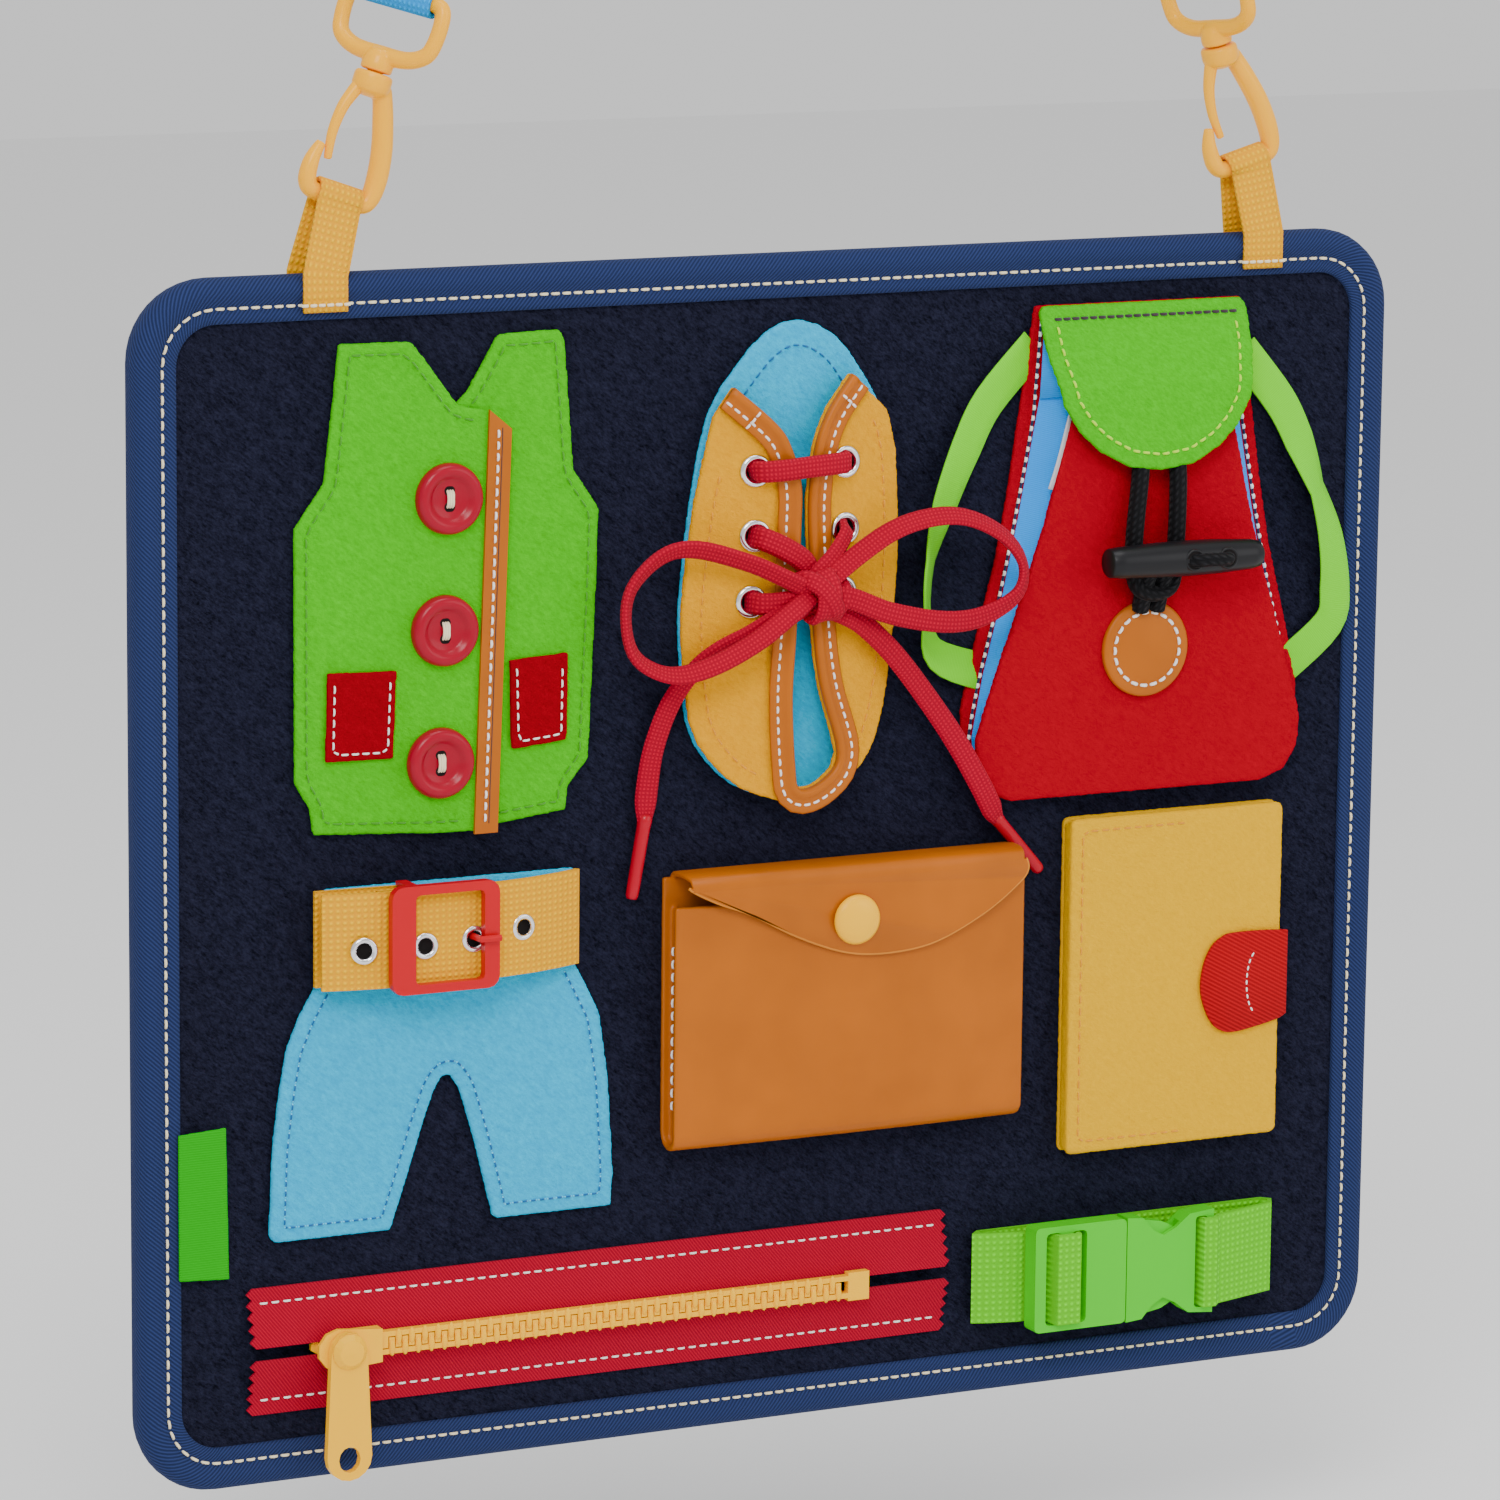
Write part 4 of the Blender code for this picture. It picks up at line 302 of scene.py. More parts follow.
def make_materials():
    """Every material of the board."""
    felt_material("navy_felt", linear(30, 31, 43), 0.75, 0.03, 0.24)
    felt_material("green_felt", linear(106, 188, 6))
    felt_material("crimson_felt", linear(160, 14, 54), 0.14)
    felt_material("dark_crimson_felt", linear(136, 10, 44), 0.16)
    felt_material("blue_felt", linear(14, 186, 240), 0.24)
    felt_material("yellow_felt", linear(252, 176, 0), 0.14)
    felt_material("book_felt", linear(254, 190, 0), 0.12)
    woven_material("navy_twill", linear(42, 50, 80), 0, 1.1, 0.2, 0.9, 0.4, 0.8, 0.02)
    woven_material("gold_webbing", linear(255, 180, 0), 1.5, 1.7, 0.4)
    woven_material("cyan_webbing", linear(10, 156, 222), 1.3, 1.5, 0.4)
    woven_material("lime_webbing", linear(128, 205, 10), 1.6, 1.8, 0.45)
    woven_material("crimson_tape", linear(146, 12, 54), 0, 0.9, 0.15, 0.8, 0.25)
    woven_material("tab_nylon", linear(150, 8, 46), 0, 1.3, 0.2, 0.9, 0.25, 0.5)
    woven_material("lime_satin", linear(132, 204, 4), 0, 0.5, 0.04, 0, 0.06, 0.4, 0.05)
    woven_material("blue_satin", linear(20, 150, 226), 0, 0.5, 0.04, 0, 0.06, 0.4, 0.05)
    woven_material("green_tape", linear(30, 150, 50), 0, 0.6, 0.05, 0, 0.12, 0.5)
    woven_material("red_lace", linear(162, 4, 60), 1.1, 1.0, 0.22, 0, 0.3, 0.7)
    woven_material("black_cord", linear(26, 26, 28), 1.6, 2.0, 0.5, 0.8, 0.5, 0.6)
    leather_material("tan_leather", linear(160, 98, 56))
    leather_material("brown_leather", linear(150, 88, 44), 0.5)
    leather_material("leather_edge", linear(186, 128, 84), 0.7)
    plastic_material("amber_plastic", linear(255, 182, 0), 0.28, 0.04)
    plastic_material("yellow_plastic", linear(255, 190, 0), 0.32, 0.04)
    plastic_material("red_plastic", linear(172, 4, 54), 0.28)
    plastic_material("button_plastic", linear(138, 2, 50), 0.25)
    plastic_material("aglet_plastic", linear(156, 6, 54), 0.2, 0.1)
    plastic_material("lime_plastic", linear(104, 192, 6), 0.4, 0.03, 0.05)
    plastic_material("black_plastic", linear(22, 22, 24), 0.35)
    plastic_material("core_board", linear(150, 150, 140), 0.9)
    thread_material("cream_thread", linear(236, 226, 200))
    thread_material("white_thread", linear(245, 243, 238))
    thread_material("dark_thread", linear(52, 40, 44))
    thread_material("green_thread", linear(82, 140, 30))
    thread_material("blue_thread", linear(24, 92, 140))
    thread_material("sky_thread", linear(130, 205, 230))
    thread_material("yellow_thread", linear(206, 150, 20))
    thread_material("lime_thread", linear(190, 225, 110))
    thread_material("navy_thread", linear(20, 26, 60))
    # Matt near-black for discs of painted shade inside holes and eyelets.
    plastic_material("hole_shade", linear(16, 12, 12), 0.9)
    plastic_material("lining", linear(196, 192, 196), 0.8)
    _, shader = new_material("metal", (0.8, 0.8, 0.82, 1), 0.18)
    shader.inputs["Metallic"].default_value = 1.0


# Geometry helpers
def link(name, mesh, mat, body, replaces=(), smooth=True):
    """Put a mesh in the scene on its body, standing for its CAD nodes."""
    obj = bpy.data.objects.new(name, mesh)
    bpy.context.scene.collection.objects.link(obj)
    if not mesh.materials:
        mesh.materials.append(MATERIALS[mat])
    for face in mesh.polygons:
        face.use_smooth = smooth
    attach(obj, body)
    if replaces:
        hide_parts(*replaces)
    return obj


def catmull(points, steps, closed=False):
    """Smooth curve through points."""
    count = len(points)
    made = []
    for i in range(count if closed else count - 1):
        if closed:
            p = [points[(i + k) % count] for k in (-1, 0, 1, 2)]
        else:
            p = [points[max(i - 1, 0)], points[i], points[i + 1], points[min(i + 2, count - 1)]]
        for k in range(steps):
            t = k / steps
            made.append(0.5 * (2 * p[1] + (p[2] - p[0]) * t
                               + (2 * p[0] - 5 * p[1] + 4 * p[2] - p[3]) * t * t
                               + (3 * p[1] - p[0] - 3 * p[2] + p[3]) * t ** 3))
    if not closed:
        made.append(points[-1])
    return made


def resample(points, pitch, closed=False):
    """Points at an even pitch in metres along a line."""
    line = list(points) + ([points[0]] if closed else [])
    total = sum((b - a).length for a, b in zip(line, line[1:]))
    count = max(int(round(total / pitch)), 2)
    step = total / count
    made, travelled, want = [line[0].copy()], 0.0, step
    for a, b in zip(line, line[1:]):
        length = (b - a).length
        while length > 0 and want <= travelled + length + 1e-9 and len(made) <= count:
            made.append(a.lerp(b, (want - travelled) / length))
            want += step
        travelled += length
    return made[:count] if closed else made


def route(points, steps=6):
    """Smooth world line through (u, v, d) places."""
    return catmull([at(*p) for p in points], steps)


def heading(points, i, closed=False):
    """Direction of a line at one of its points."""
    if closed:
        return (points[(i + 1) % len(points)] - points[i - 1]).normalized()
    return (points[min(i + 1, len(points) - 1)] - points[max(i - 1, 0)]).normalized()


def mesh_of(made, name, outward=True):
    """The mesh of a finished bmesh, its faces turned outward unless told otherwise."""
    if outward:
        bmesh.ops.recalc_face_normals(made, faces=made.faces)
    mesh = bpy.data.meshes.new(name)
    made.to_mesh(mesh)
    made.free()
    return mesh


def sweep(sections, closed=False):
    """Mesh through equal rings of points, with UV places in metres."""
    mesh = bmesh.new()
    layer = mesh.loops.layers.uv.new("weave")
    rings = [[mesh.verts.new(p) for p in ring] for ring in sections]
    count, size = len(rings), len(rings[0])
    lengths = [0.0]
    for a, b in zip(sections, sections[1:]):
        middle_a = sum(a, Vector()) / size
        middle_b = sum(b, Vector()) / size
        lengths.append(lengths[-1] + (middle_b - middle_a).length)
    around = [0.0]
    for k in range(size):
        around.append(around[-1] + (sections[0][(k + 1) % size] - sections[0][k]).length)
    for i in range(count if closed else count - 1):
        a, b = rings[i], rings[(i + 1) % count]
        x0 = lengths[i]
        x1 = lengths[i + 1] if i + 1 < count else x0 + (lengths[1] - lengths[0])
        for k in range(size):
            n = (k + 1) % size
            face = mesh.faces.new((a[k], a[n], b[n], b[k]))
            places = ((x0, around[k]), (x0, around[k + 1]), (x1, around[k + 1]), (x1, around[k]))
            for loop, place in zip(face.loops, places):
                loop[layer].uv = place
    if not closed:
        mesh.faces.new(list(reversed(rings[0])))
        mesh.faces.new(rings[-1])
    return mesh_of(mesh, "piece")


def tube_mesh(points, radius, sides=10, closed=False, normal=Vector((0, -1, 0.01))):
    """Round tube; the radius may be a list."""
    dirs = parallel_frames(points, normal, closed)
    sections = []
    for i, (point, (side, out)) in enumerate(zip(points, dirs)):
        r = radius[i] if isinstance(radius, (list, tuple)) else radius
        sections.append([point + side * r * math.cos(2 * math.pi * k / sides)
                         + out * r * math.sin(2 * math.pi * k / sides) for k in range(sides)])
    return sweep(sections, closed)


def parallel_frames(points, start, closed=False):
    """Side and out directions carried along a line without twisting."""
    along = [heading(points, i, closed) for i in range(len(points))]
    out = (start - along[0] * start.dot(along[0])).normalized()
    made = []
    for i, ahead in enumerate(along):
        if i:
            out = (out - ahead * out.dot(ahead)).normalized()
        made.append((ahead.cross(out).normalized(), out))
    return made


def band_mesh(points, sides, width, thickness, closed=False, edge=0.3):
    """Flat band with rounded edges: centre line, width directions, width and thickness."""
    sections = []
    for i, (point, side) in enumerate(zip(points, sides)):
        along = heading(points, i, closed)
        side = (side - along * side.dot(along)).normalized()
        out = side.cross(along).normalized()
        wide = width[i] if isinstance(width, (list, tuple)) else width
        half, thick = wide / 2, thickness / 2
        bevel = thick * edge
        profile = [(-half, -thick + bevel), (-half + bevel, -thick), (-half * 0.4, -thick),
                   (half * 0.4, -thick), (half - bevel, -thick), (half, -thick + bevel),
                   (half, thick - bevel), (half - bevel, thick), (half * 0.4, thick),
                   (-half * 0.4, thick), (-half + bevel, thick), (-half, thick - bevel)]
        sections.append([point + side * a + out * b for a, b in profile])
    return sweep(sections, closed)


def join(meshes):
    """One mesh of several."""
    made = bmesh.new()
    for mesh in meshes:
        made.from_mesh(mesh)
    joined = mesh_of(made, "joined", outward=False)
    for mesh in meshes:
        bpy.data.meshes.remove(mesh)
    return joined


def stitch_mesh(points, pitch, gap_share, radius, lift, normal, closed=False):
    """A row of short stitches that dip into the cloth at both ends."""
    line = resample(points, pitch, closed)
    steps = len(line) if closed else len(line) - 1
    made = bmesh.new()
    sides = 6
    for i in range(steps):
        a, b = line[i], line[(i + 1) % len(line)]
        along = b - a
        start, end = a + along * gap_share / 2, b - along * gap_share / 2
        side = along.cross(normal).normalized()
        rings = []
        for share, rise, size in ((0.0, -0.9, 0.55), (0.12, 0.25, 0.9), (0.5, 0.75, 1.0),
                                  (0.88, 0.25, 0.9), (1.0, -0.9, 0.55)):
            centre = start.lerp(end, share) + normal * (lift + radius * rise)
            r = radius * size
            turns = [2 * math.pi * k / sides for k in range(sides)]
            rings.append([made.verts.new(centre + side * r * 1.15 * math.cos(t)
                                         + normal * r * math.sin(t)) for t in turns])
        for ring, following in zip(rings, rings[1:]):
            for k in range(sides):
                n = (k + 1) % sides
                made.faces.new((ring[k], ring[n], following[n], following[k]))
        made.faces.new(list(reversed(rings[0])))
        made.faces.new(rings[-1])
    return mesh_of(made, "stitches")


def stitches(name, points, mat, body="board", pitch=3.0, gap_share=0.3, radius=0.28, lift=0.0,
             normal=OUT, closed=False):
    """A seam's stitches as one object."""
    mesh = stitch_mesh(points, pitch * MM, gap_share, radius * MM, lift * MM, normal, closed)
    return link(name, mesh, mat, body)


def from_node(node):
    """A copy of a CAD node's mesh with its materials taken off."""
    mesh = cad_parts[node].data.copy()
    mesh.materials.clear()
    return mesh


def remesh(obj, voxel, rounds):
    """Give the object one closed skin of even faces, smoothed; voxel size in millimetres."""
    skin = obj.modifiers.new("remesh", "REMESH")
    skin.mode = "VOXEL"
    skin.voxel_size = voxel * MM
    soft = obj.modifiers.new("soft", "SMOOTH")
    soft.factor = 0.5
    soft.iterations = rounds
    bpy.context.view_layer.update()
    graph = bpy.context.evaluated_depsgraph_get()
    made = bpy.data.meshes.new_from_object(obj.evaluated_get(graph))
    obj.modifiers.clear()
    old, obj.data = obj.data, made
    bpy.data.meshes.remove(old)
    return made


def finish(mesh, mat):
    """Smooth faces, and the material where the new mesh has lost it."""
    for face in mesh.polygons:
        face.use_smooth = True
    if not mesh.materials:
        mesh.materials.append(MATERIALS[mat])


def soften(name, node, mat, body, voxel=0.55, fuzz=0.14, rounds=3):
    """Felt piece in the place of its CAD solid: edges rounded by smoothing, surface fuzzed."""
    mesh = from_node(node)
    obj = link(name, mesh, mat, body, (node,))
    made = remesh(obj, voxel * (1.0), rounds)
    normals = [v.normal.copy() for v in made.vertices]
    for vertex, normal in zip(made.vertices, normals):
        place = vertex.co * 1000
        amount = noise.fractal(place * 0.9, 1.0, 2.0, 3) * fuzz + 0.12
        vertex.co += normal * amount * MM
    finish(made, mat)
    return obj


def rim(node):
    """Edge of a node's front face, in order round its longest loop."""
    made = bmesh.new()
    made.from_mesh(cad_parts[node].data)
    bmesh.ops.remove_doubles(made, verts=made.verts, dist=0.001 * MM)
    made.normal_update()
    front = {f for f in made.faces if f.normal.y < -0.45}
    links = {}
    for edge in made.edges:
        if sum(1 for f in edge.link_faces if f in front) == 1:
            a, b = edge.verts
            links.setdefault(a, []).append(b)
            links.setdefault(b, []).append(a)
    loops, seen = [], set()
    for start in links:
        if start in seen:
            continue
        loop, last, here = [], None, start
        while here and here not in seen:
            seen.add(here)
            loop.append(here.co.copy())
            following = [v for v in links[here] if v is not last and v not in seen]
            last, here = here, following[0] if following else None
        loops.append(loop)
    made.free()
    return max(loops, key=lambda loop: sum((b - a).length for a, b in zip(loop, loop[1:])))


def area_of(loop):
    """Signed area of a loop seen from the front."""
    return sum(a.x * b.z - b.x * a.z for a, b in zip(loop, loop[1:] + loop[:1])) / 2


def inset(loop, distance):
    """The loop moved inward by a distance in millimetres, at an even pitch."""
    line = resample(loop, 1.2 * MM, closed=True)
    if area_of(line) < 0:
        line.reverse()
    count = len(line)
    made = []
    for i, point in enumerate(line):
        step = line[(i + 2) % count] - line[i - 2]
        inward = Vector((-step.z, 0, step.x)).normalized()
        made.append(point + inward * distance * MM)
    keep = []
    for point in made:
        near = min((Vector((point.x - q.x, 0, point.z - q.z)).length for q in line))
        if near > distance * MM * 0.86:
            keep.append(point)
    return keep


def runs(line, wanted):
    """The stretches of a closed line whose points pass a test."""
    flags = [wanted(p) for p in line]
    if all(flags):
        return [line + line[:1]]
    if not any(flags):
        return []
    start = flags.index(False)
    ordered = line[start:] + line[:start]
    marks = flags[start:] + flags[:start]
    found, run = [], []
    for point, mark in zip(ordered, marks):
        if mark:
            run.append(point)
        elif run:
            found.append(run)
            run = []
    if run:
        found.append(run)
    return [r for r in found if len(r) > 3]


def board_uv(point):
    """Board place (u, v) in millimetres of a world point."""
    return point.x / MM + HANG_U, point.z / MM + HANG_V


def seam(name, node, distance, mat, wanted, body="board", pitch=3.0, gap_share=0.3,
         radius=0.26, lift=0.25):
    """Stitching at an even distance inside a node's edge, where a test of (u, v) allows."""
    line = on_surface(node, inset(rim(node), distance))
    link(name, join([stitch_mesh(run, pitch * MM, gap_share, radius * MM, lift * MM, OUT)
                     for run in runs(line, lambda p: wanted(*board_uv(p)))]), mat, body)


def on_surface(node, points):
    """The points brought onto the front of a node's surface."""
    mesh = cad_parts[node].data
    tree = BVHTree.FromPolygons([v.co for v in mesh.vertices],
                                [tuple(f.vertices) for f in mesh.polygons])
    made = []
    for point in points:
        hit = tree.ray_cast(Vector((point.x, -0.2, point.z)), Vector((0, 1, 0)))[0]
        if hit:
            made.append(hit)
    return made


def rounded_rect(left, bottom, right, top, radius, steps=8):
    """Rectangle with round corners as (u, v) places."""
    made = []
    for u, v, start in ((right - radius, bottom + radius, -90), (right - radius, top - radius, 0),
                        (left + radius, top - radius, 90), (left + radius, bottom + radius, 180)):
        for k in range(steps + 1):
            t = math.radians(start + 90 * k / steps)
            made.append((u + radius * math.cos(t), v + radius * math.sin(t)))
    return made


# Board
BINDING_PROFILE = [(11.0, 0.35), (10.8, 1.0), (9.4, 1.15), (8.0, 1.0), (7.2, 0.75), (6.4, 1.05),
                   (5.0, 1.75), (3.2, 2.0), (1.6, 1.5), (0.5, 0.2), (0.0, -1.6), (0.0, -3.8),
                   (0.5, -6.0), (1.6, -7.1), (3.4, -7.3), (6.4, -7.1), (7.2, -6.9),
                   (8.0, -7.0), (10.8, -7.0), (11.0, -6.3)]
BINDING_SEAM = 7.2
BACK_D = -6.9
CORNER_STEPS = 10
SIDE_PARTS = 40


def make_board():
    """Felts, rolled twill binding and its topstitch on both faces."""
    link("front_panel", grid_plate(9), "navy_felt", "board", ("front_felt",))
    link("back_panel", from_node("back_felt"), "navy_felt", "board", ("back_felt",),
         smooth=False)
    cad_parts["stiffener"].data.materials[0] = MATERIALS["core_board"]
    rings = []
    for i, d in BINDING_PROFILE:
        path = rounded_rect(i, i, BOARD[0] - i, BOARD[1] - i, 20 - i * 0.9, CORNER_STEPS)
        rings.append(divided([at(u, v, d) for u, v in path]))
    sections = [[ring[k] for ring in rings] for k in range(len(rings[0]))]
    link("binding", sweep(sections, closed=True), "navy_twill", "board", ("edge_binding",))
    for name, depth, out in (("binding_stitches_front", 1.0, OUT),
                             ("binding_stitches_back", BACK_D, -OUT)):
        path = rounded_rect(BINDING_SEAM, BINDING_SEAM, BOARD[0] - BINDING_SEAM,
                            BOARD[1] - BINDING_SEAM, 20 - BINDING_SEAM * 0.9, 12)
        line = [at(u, v, depth) for u, v in path]
        stitches(name, line, "cream_thread", pitch=3.05, gap_share=0.24, radius=0.34, lift=0.0,
                 normal=out, closed=True)


def divided(ring):
    """A closed ring with its four long sides divided; every ring of the binding divides alike."""
    made = []
    count = len(ring)
    for i in range(count):
        a, b = ring[i], ring[(i + 1) % count]
        parts = SIDE_PARTS if (i + 1) % (CORNER_STEPS + 1) == 0 else 1
        for k in range(parts):
            made.append(a.lerp(b, k / parts))
    return made


def within_corner(u, v, low, radius):
    """The place moved inside the board's round corners."""
    cu = min(max(u, low + radius), BOARD[0] - low - radius)
    cv = min(max(v, low + radius), BOARD[1] - low - radius)
    off = Vector((u - cu, v - cv))
    if off.length > radius:
        off *= radius / off.length
    return cu + off.x, cv + off.y


def grid_plate(inset_mm):
    """The front panel: a felt sheet with very slight waves."""
    cols, rows = 110, 94
    u0, v0, u1, v1 = inset_mm - 5, inset_mm - 5, BOARD[0] - inset_mm + 5, BOARD[1] - inset_mm + 5
    verts, faces = [], []
    for j in range(rows + 1):
        for i in range(cols + 1):
            u, v = u0 + (u1 - u0) * i / cols, v0 + (v1 - v0) * j / rows
            u, v = within_corner(u, v, inset_mm - 5, 20 - (inset_mm - 5) * 0.9)
            wave = noise.noise(Vector((u, v, 0)) * 0.02) * 0.12
            verts.append(at(u, v, wave - 0.05))
    for j in range(rows):
        for i in range(cols):
            a = j * (cols + 1) + i
            faces.append((a, a + 1, a + cols + 2, a + cols + 1))
    mesh = bpy.data.meshes.new("front_panel")
    mesh.from_pydata(verts, [], faces)
    return mesh


# Hanging gear
HOOKS = {"left": {"bight": (54, 318), "lean": 19, "turn": 50, "foot": 49},
         "right": {"bight": (308, 318), "lean": -16, "turn": 70, "foot": 311}}
HOOK_LENGTH = 29.0
COLLAR_HEIGHT = 5.0
RING_ROD = 2.0
RING_HEIGHT = 15.0
STRAP_BACK_LEG = 45.0
STRAP_TOP_RADIUS = 50.0
STRAP_TOP = (188.2355, 554.2706)
STRAP_WIDTH = 20.0
WEBBING = 1.2
GAP = 0.3


def hook_frame(side):
    """Matrix in millimetres whose Z runs up the hook from its bight."""
    spec = HOOKS[side]
    lean = math.radians(spec["lean"])
    up = Vector((math.sin(lean), 0, math.cos(lean)))
    right = Vector((up.z, 0, -up.x))
    u, v = spec["bight"]
    place = Vector((u - HANG_U, 0, v - HANG_V))
    columns = Matrix((right, Vector((0, 1, 0)), up)).transposed().to_4x4()
    return Matrix.Translation(place) @ columns


def ring_frame(side):
    """The hook's frame turned on its swivel."""
    return hook_frame(side) @ Matrix.Rotation(math.radians(-HOOKS[side]["turn"]), 4, "Z")


def strap_leg(side):
    """Centre line and width directions of one end of the strap."""
    turned = ring_frame(side)
    bar = HOOK_LENGTH + COLLAR_HEIGHT + RING_ROD + RING_HEIGHT
    bend = RING_ROD + GAP + WEBBING / 2
    close = WEBBING / 2 + GAP / 2
    across = turned.to_3x3() @ Vector((1, 0, 0))
    local = [(close, bar + STRAP_BACK_LEG), (close, bar + bend * 6),
             (close * 1.4, bar + bend * 3.4)]
    local += [(bend * math.sin(math.radians(a)), bar - bend * math.cos(math.radians(a)))
              for a in range(110, -111, -10)]
    local += [(-close * 1.4, bar + bend * 3.4), (-close, bar + bend * 6),
              (-close, bar + STRAP_BACK_LEG)]
    points = [turned @ Vector((0, y, z)) * MM for y, z in local]
    return points, [across] * len(points)


def make_strap():
    """The cyan webbing strap, and the seams that close its folds."""
    left_points, left_sides = strap_leg("left")
    right_points, right_sides = strap_leg("right")
    depth = Vector((0, 1, 0))
    top = []
    first, last = 180 - HOOKS["left"]["lean"], -HOOKS["right"]["lean"]
    for k in range(41):
        t = math.radians(first + (last - first) * k / 40)
        top.append(Vector((STRAP_TOP[0] - HANG_U + STRAP_TOP_RADIUS * math.cos(t), 0,
                           STRAP_TOP[1] - HANG_V + STRAP_TOP_RADIUS * math.sin(t))) * MM)
    centre, across = list(left_points), list(left_sides)
    steps = 24
    for k in range(1, steps):
        t = k / steps
        centre.append(left_points[-1].lerp(top[0], t))
        across.append(left_sides[-1].lerp(-depth, t))
    centre += top
    across += [-depth] * len(top)
    for k in range(1, steps):
        t = k / steps
        centre.append(top[-1].lerp(right_points[-1], t))
        across.append((-depth).lerp(right_sides[-1], t))
    centre += reversed(right_points)
    across += reversed(right_sides)
    link("carrying_strap", band_mesh(centre, across, STRAP_WIDTH * MM, WEBBING * MM),
         "cyan_webbing", "strap", ("strap",))
    for side in HOOKS:
        turned = ring_frame(side)
        bar = HOOK_LENGTH + COLLAR_HEIGHT + RING_ROD + RING_HEIGHT
        box = []
        for face in (-1, 1):
            out = turned.to_3x3() @ Vector((0, face, 0))
            for row in (12.0, STRAP_BACK_LEG - 6):
                line = [turned @ Vector((x, face * (WEBBING + GAP / 2), bar + row)) * MM
                        for x in (-STRAP_WIDTH / 2 + 2, STRAP_WIDTH / 2 - 2)]
                box.append(stitch_mesh(line, 2.2 * MM, 0.2, 0.3 * MM, 0.0, out))
        link("strap_seam_" + side, join(box), "cream_thread", "strap")


HOOK_ROD = 2.2
LOOP_GAP = 0.35
LOOP_FRONT = 4.7
LOOP_BACK = 4.2
LOOP_WIDTH = 11.5
LOOP_SEWN = 9.0


def make_loop(side):
    """Golden webbing loop round the hook's bight, sewn to the binding."""
    spec = HOOKS[side]
    turned = hook_frame(side)
    bend = HOOK_ROD + LOOP_GAP + WEBBING / 2
    front, back = LOOP_FRONT + WEBBING / 2, LOOP_BACK + WEBBING / 2
    upright, leaning = Vector((1, 0, 0)), turned.to_3x3() @ Vector((1, 0, 0))
    foot = Vector((spec["foot"] - HANG_U, 0, BOARD[1] - HANG_V))
    turn = [turned @ Vector((0, -bend * math.cos(math.radians(a)),
                             bend * math.sin(math.radians(a)))) for a in range(-20, 201, 11)]
    start = Vector((foot.x, -front, foot.z))
    end = Vector((foot.x, back, foot.z))
    down = Vector((0, 0, -LOOP_SEWN))
    centre = [start + down, start + down / 2, start]
    across = [upright] * 3
    for k in range(1, 8):
        centre.append(start.lerp(turn[0], k / 8))
        across.append(upright.lerp(leaning, k / 8))
    centre += turn
    across += [leaning] * len(turn)
    for k in range(1, 8):
        centre.append(turn[-1].lerp(end, k / 8))
        across.append(leaning.lerp(upright, k / 8))
    centre += [end, end + down / 2, end + down]
    across += [upright] * 3
    band = band_mesh([p * MM for p in centre], across, LOOP_WIDTH * MM, WEBBING * MM)
    link("webbing_loop_" + side, band, "gold_webbing", "board", (side + "_loop",))
    v = BOARD[1] - BINDING_SEAM
    for name, out, depth in (("front", OUT, front + FACE_Y + WEBBING / 2),
                             ("back", -OUT, FACE_Y - back - WEBBING / 2)):
        line = [at(spec["foot"] + x, v, depth) for x in (-6.6, 6.6)]
        stitches("loop_seam_%s_%s" % (side, name), line, "cream_thread", pitch=2.2,
                 gap_share=0.12, radius=0.36, normal=out)


HOOK_SHARES = [(-0.9, 0.4), (-0.99, 0.3), (-1.03, 0.2), (-0.98, 0.07), (-0.74, 0), (0, 0),
               (0.74, 0), (0.97, 0.08), (1.0, 0.26), (0.88, 0.5), (0.62, 0.76), (0.36, 0.97)]
HOOK_RADII = [1.2, 1.7, 2.1, 2.3, 2.2, 2.1, 2.2, 2.5, 2.7, 2.7, 2.6, 2.4]
HOOK_HALF_WIDTH = 8.8
RING_WIDTH = 26.0
COLLAR = [(-3.6, 1.6), (-3.0, 3.2), (-2.2, 4.4), (-1.0, 4.8), (1.4, 4.8), (2.1, 4.6), (2.4, 4.0)]
BOSS = [(2.8, 3.4), (3.0, 3.9), (4.6, 4.0), (6.4, 3.7), (8.0, 2.9), (8.8, 1.4)]


def axis_tube(matrix, profile, base):
    """Turned shape along a fitting's axis, from (height, radius) steps above a base."""
    line = [matrix @ Vector((0, 0, base + z)) * MM for z, _ in profile]
    return tube_mesh(line, [r * MM for _, r in profile], 28)


def smooth_tube(matrix, points, radii, closed=False):
    """Round rod through (x, z) places of a fitting, its radius changing on the way."""
    line = catmull([matrix @ Vector((x, 0, z)) * MM for x, z in points], 5, closed)
    count = len(line)
    sizes = []
    for i in range(count):
        place = i / (count if closed else count - 1) * (len(radii) if closed else len(radii) - 1)
        low = int(place) % len(radii)
        high = (low + 1) % len(radii) if closed else min(low + 1, len(radii) - 1)
        sizes.append((radii[low] + (radii[high] - radii[low]) * (place - int(place))) * MM)
    return tube_mesh(line, sizes, 16, closed)


def melt(name, meshes, mat, body, replaces, voxel=0.35):
    """Overlapping shapes run together into one moulded piece."""
    obj = link(name, join(meshes), mat, body, replaces)
    finish(remesh(obj, voxel * (1.0), 5), mat)
    return obj


